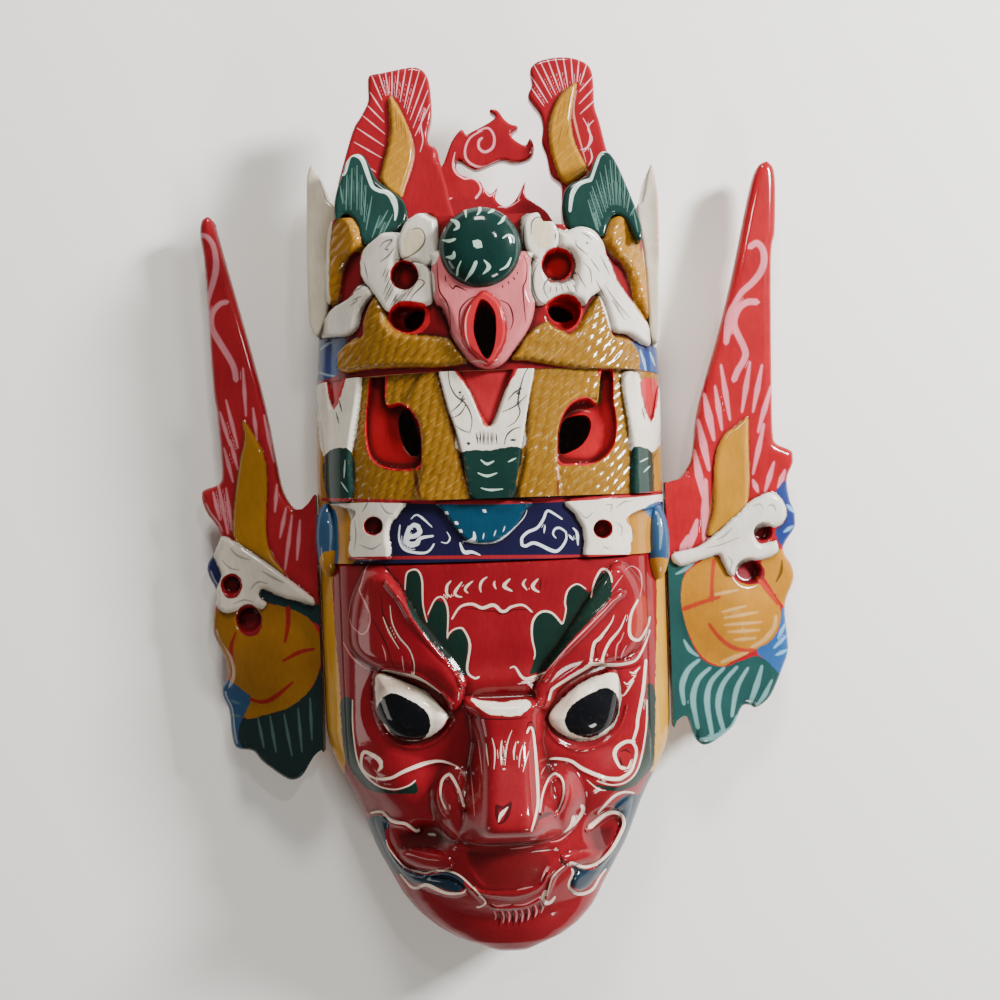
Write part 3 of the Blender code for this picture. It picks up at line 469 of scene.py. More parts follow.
def lacqueredPaint(name, ground, coats, look=lacquerLook):
    # The coats over the ground one by one, each where its distances say, then mottling, dirt with painted shade,
    # rubbed edges
    material = bpy.data.materials.new(name)
    material.use_nodes = True
    tree = material.node_tree
    shader = tree.nodes["Principled BSDF"]
    coords = addNode(tree, "TexCoord", output=3)
    grain = addNode(tree, "Mapping", {"Vector": coords, "Scale": (1.0, look["brushPull"], 1.0)})
    fine, broad, strokes, uneven = [
        addNode(tree, "TexNoise", {"Vector": vector, "Scale": 1000.0 / look[size], "Detail": detail})
        for vector, size, detail in ((coords, "wobbleSize", 2.0), (coords, "mottleSize", 4.0),
                                     (grain, "brushSize", 2.0), (coords, "bumpSize", 3.0))]
    wander, patchy, shade, brushed, bare = [
        addNode(tree, "MapRange", {"Value": noise, "From Min": between[0], "From Max": between[1],
                                   "To Min": low, "To Max": high})
        for noise, between, low, high in (
            (fine, look["wobbleFrom"], -look["wobble"], look["wobble"]), (uneven, look["patchFrom"], 0.0, 1.0),
            (broad, look["mottleFrom"], 1.0 - look["mottle"], 1.0 + 0.4 * look["mottle"]),
            (strokes, look["mottleFrom"], 1.0 - look["brush"], 1.0 + look["brush"]),
            (uneven, look["wearFrom"], 0.0, look["wear"]))]
    colour = linearColour(ground)
    for coatName, coat in coats.items():
        soft = coat.get("soft", look["edge"])
        depths = []  # how far inside each of its shapes a point lies, with how soft their edge is
        if "areas" in coat:
            area = addNode(tree, "Attribute", output=2, attribute_name=coatName + "Area")
            depths.append((addNode(tree, "Math", {0: area, 1: wander}, operation="ADD"), soft))
        if "lines" in coat or "ticks" in coat:
            side, half = [addNode(tree, "Attribute", output=2, attribute_name=coatName + end)
                          for end in ("Side", "Half")]
            away = addNode(tree, "Math", {0: side}, operation="ABSOLUTE")
            depths.append((addNode(tree, "Math", {0: half, 1: away}, operation="SUBTRACT"),
                           look["lineEdge"] * soft))
        for depth, edge in depths:
            share = addNode(tree, "MapRange", {"Value": depth, "From Min": -edge, "From Max": edge})
            ridgeShare = share
            if "share" in coat:
                share = addNode(tree, "Math", {0: share, 1: coat["share"]}, operation="MULTIPLY")
            colour = addNode(tree, "Mix", {0: share, 6: colour, 7: linearColour(coat["colour"])},
                             output=2, data_type="RGBA")
        # The paler gold on the lattice's ridges is partly a painted highlight
        if "lattice" in coat:
            ridgeHighlights = []
            for field, strength in (("latticeU", coat["lattice"]),
                                    ("latticeV", goldLook["ridgeShare"] * coat["lattice"])):
                turn = addNode(tree, "Attribute", output=2, attribute_name=field)
                turn = addNode(tree, "Math", {0: turn, 1: 0.5}, operation="PINGPONG")
                ridgeHighlights.append(addNode(tree, "MapRange", {
                    "Value": turn, "From Min": look["ridgeHighlightFrom"][0], "From Max": look["ridgeHighlightFrom"][1],
                    "To Min": strength, "To Max": 0.0}))
            ridge = addNode(tree, "Math", {0: ridgeHighlights[0], 1: ridgeHighlights[1]}, operation="MAXIMUM")
            for part in (ridgeShare, patchy):
                ridge = addNode(tree, "Math", {0: ridge, 1: part}, operation="MULTIPLY")
            colour = addNode(tree, "Mix", {0: ridge, 6: colour, 7: linearColour(goldLook["ridge"])},
                             output=2, data_type="RGBA")
    shade = addNode(tree, "Math", {0: shade, 1: brushed}, operation="MULTIPLY")
    colour = addNode(tree, "HueSaturation", {"Color": colour, "Value": shade})
    # grimeAndShade darkens the cuts and hollows, partly as dirt and partly as painted shade where less light falls
    grimeAndShade, edge = [addNode(tree, "Attribute", output=2, attribute_name=field) for field in ("grimeAndShade", "edge")]
    for mark, part, tint in ((grimeAndShade, look["grimeAndShadeShare"], look["grimeAndShade"]), (edge, bare, look["rubbed"])):
        share = addNode(tree, "Math", {0: mark, 1: part}, operation="MULTIPLY")
        colour = addNode(tree, "Mix", {0: share, 6: colour, 7: linearColour(tint)}, output=2, data_type="RGBA")
    rough = addNode(tree, "Math", {0: grimeAndShade, 1: look["roughGrimeAndShade"], 2: broad}, operation="MULTIPLY_ADD")
    rough = addNode(tree, "MapRange", {
        "Value": rough, "From Min": look["roughFrom"][0], "From Max": look["roughFrom"][1],
        "To Min": look["roughness"][0], "To Max": look["roughness"][1]})
    height = addNode(tree, "Math", {0: strokes, 1: 0.25, 2: uneven}, operation="MULTIPLY_ADD")
    bump, ripple = [addNode(tree, "Bump", {"Height": height, "Strength": strength, "Distance": look[key] * 0.001})
                    for key, strength in (("bump", 0.6), ("ripple", 0.5))]
    for socket, value in (("Base Color", colour), ("Roughness", rough), ("Normal", bump), ("Coat Normal", ripple)):
        tree.links.new(value, shader.inputs[socket])
    for socket, key in (("Specular IOR Level", "specular"), ("Coat Weight", "coat"),
                        ("Coat Roughness", "coatRoughness")):
        shader.inputs[socket].default_value = look[key]
    return material


# Bare softwood inside the hollow: pale brown and dull, with streaks of grain along the log
woodLook = {"pale": "#B08A5E", "dark": "#7A5433", "ringSize": 5.0, "poreSize": 0.9, "pull": 0.06, "pores": 0.35,
            "darkFrom": (0.5, 0.85), "bump": 0.3, "roughness": 0.72}


def bareWood(name, look=woodLook):
    # Two noises drawn out along the log, added up for the colour and the bump
    material = bpy.data.materials.new(name)
    material.use_nodes = True
    tree = material.node_tree
    shader = tree.nodes["Principled BSDF"]
    coords = addNode(tree, "TexCoord", output=3)
    along = addNode(tree, "Mapping", {"Vector": coords, "Scale": (1.0, look["pull"], 1.0)})
    rings, pores = [addNode(tree, "TexNoise", {"Vector": along, "Scale": 1000.0 / look[size], "Detail": detail})
                    for size, detail in (("ringSize", 5.0), ("poreSize", 3.0))]
    streak = addNode(tree, "Math", {0: pores, 1: look["pores"], 2: rings}, operation="MULTIPLY_ADD")
    share = addNode(tree, "MapRange", {"Value": streak, "From Min": look["darkFrom"][0],
                                       "From Max": look["darkFrom"][1]})
    colour = addNode(tree, "Mix", {0: share, 6: linearColour(look["pale"]), 7: linearColour(look["dark"])},
                     output=2, data_type="RGBA")
    bump = addNode(tree, "Bump", {"Height": streak, "Strength": 0.5, "Distance": look["bump"] * 0.001})
    tree.links.new(colour, shader.inputs["Base Color"])
    tree.links.new(bump, shader.inputs["Normal"])
    shader.inputs["Roughness"].default_value = look["roughness"]
    return material


bareInside = bareWood("carved_bare_softwood")

# The camera looks straight down from 0.72 m above the table; the light is mostly from the upper right. Each
# lamp: its place in metres, size, power and tint.
studio = {"eye": (0.0008, 0.0024, 0.72), "lens": 47.556, "sensor": 36.0, "floorSize": 6.0, "floor": "#FBFAF6",
          "floorRoughness": 0.9, "room": "#E9E6DF", "roomLevel": 0.16, "aim": 0.05, "lamps": {
              "windowLight": ((1.25, 0.6, 0.8), 0.28, 60.0, "#FFFFFF"),
              "topLight": ((0.0, 1.4, 1.0), 0.35, 22.0, "#F6F3EC"),
              "roomLight": ((-1.6, -0.5, 0.5), 0.5, 4.0, "#F2EEE6"),
              "footLight": ((0.8, -1.3, 0.95), 0.35, 14.0, "#F6F3EC"),
              "glintLight": ((0.26, 0.5, 1.1), 0.06, 1.6, "#FFFFFF")}}
cameraData = bpy.data.cameras.new("camera")
cameraData.lens = studio["lens"]
cameraData.sensor_width = studio["sensor"]
camera = bpy.data.objects.new("camera", cameraData)
camera.location = studio["eye"]
camera.rotation_euler = (0.0, 0.0, -sheet["turn"])
bpy.context.scene.collection.objects.link(camera)
bpy.context.scene.camera = camera

for lampName, (place, size, power, tint) in studio["lamps"].items():
    lamp = bpy.data.lights.new(lampName, "AREA")
    lamp.size = size
    lamp.energy = power
    lamp.color = linearColour(tint)[:3]
    lampObject = bpy.data.objects.new(lampName, lamp)
    lampObject.location = place
    away = np.array(place) - (0.0, 0.0, studio["aim"])  # from the middle of the carving to the lamp
    lampObject.rotation_euler = (math.acos(away[2] / np.linalg.norm(away)), 0.0,
                                 math.atan2(away[1], away[0]) + math.pi / 2)
    bpy.context.scene.collection.objects.link(lampObject)
world = bpy.data.worlds.new("room")
world.use_nodes = True
backdrop = world.node_tree.nodes["Background"]
backdrop.inputs["Color"].default_value = linearColour(studio["room"])
backdrop.inputs["Strength"].default_value = studio["roomLevel"]
bpy.context.scene.world = world

# Matt paper under the carving: pale, even and without gloss
floorMesh = bpy.data.meshes.new("paleFloor")
reach = studio["floorSize"] / 2
floorMesh.from_pydata([(-reach, -reach, 0), (reach, -reach, 0), (reach, reach, 0), (-reach, reach, 0)],
                      [], [(0, 1, 2, 3)])
floor = bpy.data.objects.new("paleFloor", floorMesh)
floorPaint = bpy.data.materials.new("matt_paper_backdrop")
floorPaint.use_nodes = True
floorShader = floorPaint.node_tree.nodes["Principled BSDF"]
floorShader.inputs["Base Color"].default_value = linearColour(studio["floor"])
floorShader.inputs["Roughness"].default_value = studio["floorRoughness"]
floorMesh.materials.append(floorPaint)
bpy.context.scene.collection.objects.link(floor)
print("camera, lights and floor done")

# The carved face, the lowest of the log's four stretches. Outlines, heights and edges are in millimetres of the
# drawing. A row of numbers is a line's first point and then the step to each next one. A form is its outline,
# height and rounded edge; a dome is its middle, half sizes and height.
face = {
    "columns": 320, "rows": 264, "step": 8, "lowShare": 0.45, "top": -28.0, "stripAt": 77.0, "stripStep": 3.5,
    "stripFade": (0.9, 8.0), "stripEnd": -128.0, "edgeFade": 8.0, "frown": (-87.0, 3.0, 6.0), "spacing": 0.75,
    "sectionDepth": 80.0, "drawnAt": 5.0, "sheetUnit": 0.49, "topFade": (-29.8, -37.0), "topEdge": (-29.2, -29.9),
    "forms": {"browLeft": ([-73,-70, 1,20, 6,14, 7,9, 13,-14, 14,-24, 13,-19, 2,-10, -6,-8, -8,11, -18,9, -13,3], 5.0,
     6.0), "browRight": ([74,-68, 0,18, -6,12, -8,6, -13,-14, -27,-40, -3,-10, 6,-7, 9,12, 18,9, 14,3], 5.0, 6.0),
     "eyeLeft": ([-61,-84, 6,1, 12,-5, 11,-8, 7,-9, -6,-8, -13,-4, -12,5, -6,12], 7.0, 10.0), "eyeRight": ([58,-86,
     -8,-1, -12,-5, -10,-8, -5,-7, 6,-8, 13,-4, 12,4, 5,15], 7.0, 10.0), "mouth": ([-17,-168, 42,-2, -5,-10, -7,-7,
     -18,-1, -8,4], -1.2, 9.0), "foldLeft": ([-65,-157, 6,1, 2,-16, 10,-12, 19,-1, 9,-6, -8,-4, -19,4, -11,10, -7,15],
     2.6, 4.0), "foldRight": ([56,-155, 9,4, -1,-12, -9,-17, -12,-15, -10,-1, 1,10, 12,2, 11,14, 2,10], 2.6, 4.0)},
    "domes": [((-44, -101), (26, 25), -6.0), ((42, -103), (26, 25), -6.0), ((-52, -140), (26, 18), 6.0), ((52, -141),
     (26, 18), 6.0), ((2, -177), (50, 32), 10.5), ((-23, -147), (13, 19), 14.0), ((28, -147), (13, 19), 14.0), ((-38,
     -165), (16, 10), -6.5), ((51, -165), (13, 12), -6.5)],
    "noseX": 3.4,
    "noseAt": (-167, -162, -158, -153, -146, -135, -125, -114, -104, -96),
    "noseHeight": (80, 91, 101, 106.5, 104.5, 98, 92, 87, 86, 84),
    "noseHalfAt": (-160, -140, -118, -104, -96), "noseHalf": (15, 12.5, 9.5, 11, 15), "noseFlank": 6.0,
    "noseRound": 2.2, "noseSpread": 1.3, "noseSoften": 1.5, "noseTip": (-171.0, -161.0), "noseRoot": (-94.0, -100.0),
    "pupils": [((-46.8, -104.7), (15.0, 13.5), 3.2), ((45.1, -105.5), (15.0, 13.5), 3.2)]}
# Folds and rolls of the face, as brush lines on the sheet with a height in millimetres each
faceRolls = [
    (1.5, {(2, 3.6, 1.5): [[380,668, 14,1, 26,7, 23,16, 9,11]], (1.5, 3.6, 2): [[545,704, 6,-14, 11,-10, 16,-10,
     15,-9, 15,1, 16,-1, 14,-8]]}),
    (1, {(1.5, 2.6, 1.5): [[373,700, 6,20, 9,15, 14,9, 16,2, 16,-5, 12,-10, 9,-15], [545,721, 8,15, 13,9, 16,3, 16,-4,
     14,-9, 9,-13, 5,-18]]}),
    (2, {(4, 6, 4): [[388,583, 14,17, 13,21, 25,30, 10,10, 8,11, 5,12], [622,593, -10,7, -8,9, -46,46, -15,22]]}),
    (1.6, {(2, 3.4, 2): [[464,808, -8,-24, -6,-8, -6,0, -4,8, -2,12, 3,12, 6,8], [541,812, 1,-15, 4,-13, 6,-8, 6,-2,
     5,6, 2,10, -3,14, -6,10]]}),
    (0.7, {(2.5, 6, 2.5): [[448,843, 22,3, 40,1, 40,-5, 16,-6]]}),
    (1.5, {(2, 5, 2): [[474,886, 10,5, 28,2, 16,-3, 13,-7, 7,-11]]}),
    (1.5, {(2, 4.2, 3): [[368,812, 12,0, 10,8, 12,3, 10,5, 8,1]], (3, 4.6, 3): [[587,828, 19,-14, 8,-3, 7,4, 3,9,
     -4,11, -7,13, -9,10, -12,8, -14,-1]], (2, 3.2, 2): [[388,845, 9,15, 11,9, 16,4, 17,-3, 14,3, 11,9, 20,20],
     [567,863, -10,8, -6,10, -7,21]]}),
    (0.8, {(1.4, 2, 1.4): [[490,904, 10,2, 25,-2, 15,-7]], (1.2, 2.4, 1.2): [[377,779, 14,-1, 14,-7, 31,-10, 14,2],
     [552,758, 19,3, 12,8, 15,6, 17,4, 15,-7]]}),
    (0.45, {1.3: [[499,911, 2,6, -1,6], [506,911, 2,5, -1,6], [513,910, 2,5, -1,7], [519.5,910, 1.5,5, -1,7],
     [526,908, 1.5,5, -1.5,7], [533,905, 2,6, -2,6]]}),
    (-0.5, {0.9: [[486,742, 1,10, 2,13], [494,738, 1.5,19], [502.5,739, -0.5,25], [508,742, -4,24], [386,624, 7,14,
     6,11], [392,622, 7,15, 10,12, 5,23], [606,631, -12,13, -3,18], [620,629, -11,14, -6,21], [621,640, -5,20]]})]
# Low raised shapes of the face on the sheet: outline, height and edge in millimetres
faceForms = [
    ([464,697, 19,2, 17,1, 20,-2, 14,1, 0,13, -14,5, -20,1, -20,-2, -14,-6], 2.2, 2.6),
    ([399,852, 16,-3, 20,1, 17,6, 0,10, -17,3, -20,-1, -13,-7], 2.6, 4),
    ([560,853, 15,-4, 17,0, 11,3, -6,9, -15,2, -16,-1], 2.6, 4)]


def faceRelief(x, y):
    # How far the carved face stands off the half-log: sums of puffed outlines, domes and the nose's ridge
    bare = logHeight(x, y)
    level, high, wide = face["frown"]
    relief = high * np.exp(-((y - level) / wide) ** 2) * smooth(4.0 * wide, 2.0 * wide, np.abs(x))
    for area, height, edge in face["forms"].values():
        relief = relief + puff(insideDistance(x, y, drawn(area)), height, edge)
    for middle, halfSizes, height in face["domes"] + face["pupils"]:
        relief = relief + dome(x, y, middle, halfSizes, height)
    across, along = toSheet(x, y, bare + face["drawnAt"])
    for area, height, edge in faceForms:
        relief = relief + puff(insideDistance(across, along, drawn(area)) * face["sheetUnit"], height, edge)
    ridge = np.interp(y, *softened(face["noseAt"], face["noseHeight"], face["noseSoften"])) - bare
    half = face["noseSpread"] * np.interp(y, face["noseHalfAt"], face["noseHalf"]) + face["noseFlank"]
    nose = smooth(0.0, 1.0, 1.0 - np.clip(np.abs(x - face["noseX"]) / half, 0.0, 1.0) ** face["noseRound"])
    nose = nose * smooth(*face["noseTip"], y) * smooth(*face["noseRoot"], y)
    relief = relief * (1.0 - nose) + ridge * nose
    across, along = toSheet(x, y, bare + relief)
    for height, lines in faceRolls:
        side, half = strokeField(across, along, strokesOf(lines), margin=9.0)
        relief = relief + height * np.clip(1.0 - (side / np.maximum(half, 1e-3)) ** 2, 0.0, 1.0) * (half > 0)
    away = np.abs(x - middleLine(y))
    jaw = smooth(face["stripEnd"], face["stripEnd"] - face["stripFade"][1], y)
    strip = smooth(face["stripAt"], face["stripAt"] - face["stripFade"][0], away)
    shoulder = face["stripStep"] * np.maximum(strip, jaw)
    edge = 1.0 - np.clip(away / halfWidth(y), 0.0, 1.0) ** face["edgeFade"]
    return (relief * smooth(*face["topFade"], y) + shoulder) * edge * smooth(*face["topEdge"], y)


def outerSheet(w, y, depth):
    # The log's rounded front over the columns w and rows y
    wGrid, yGrid = np.meshgrid(w, y)
    x, z = logProfile(wGrid, halfWidth(yGrid), depth(yGrid) if callable(depth) else depth, rimAt(yGrid))
    return np.stack([x + middleLine(yGrid), yGrid, z], axis=2)


# How far round a point the carving is averaged, in millimetres, and how far from that average dirt with painted
# shade and rubbing reach their full share
marks = {"near": 1.4, "wide": 4.5, "grimeAndShade": 0.9, "grimeAndShadeShare": 0.7, "hollow": 5.0, "hollowShare": 0.35, "rub": 0.6}


def surfaceMarks(height, spacing):
    # Dirt and painted shade darken where the surface lies below its surroundings, and rubbing shows where it stands
    # above
    lift = height - blurred(height, max(1, int(round(marks["near"] / spacing))))
    wide = height - blurred(height, max(2, int(round(marks["wide"] / spacing))))
    grimeAndShade = (np.clip(-lift / marks["grimeAndShade"], 0.0, 1.0) * marks["grimeAndShadeShare"]
             + np.clip(-wide / marks["hollow"], 0.0, 1.0) * marks["hollowShare"])
    return np.clip(grimeAndShade, 0.0, 1.0), np.clip(lift / marks["rub"], 0.0, 1.0)


def withMarks(piece, both, count):
    # The two marks for the front's vertices; the hollow behind gets neither
    for name, values in zip(("grimeAndShade", "edge"), both):
        full = np.zeros(len(piece.data.vertices))
        full[:count] = values.ravel()
        addField(piece, name, full)


def ready(piece, node):
    # Nothing moves, so every piece rides on the one body
    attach(piece, "root")
    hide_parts(node)
    print(piece.name, len(piece.data.vertices), "points")


faceColumns = sectionColumns(face["columns"] + 1, log["fullHalf"], face["sectionDepth"], log["rim"],
                             face["lowShare"])
faceRows = np.linspace(log["chinY"], face["top"], face["rows"] + 1)
faceSheet = outerSheet(faceColumns, faceRows, faceDepth)
onArch = (np.abs(faceColumns) <= 1.0)[None, :]
faceSheet[:, :, 2] += faceRelief(faceSheet[:, :, 0], faceSheet[:, :, 1]) * onArch
innerRows = faceRows[::face["step"]].copy()
stepAt(innerRows, log["chinSolid"])
faceInside = hollowSheet(innerRows, face["columns"] // face["step"] + 1, faceDepth)
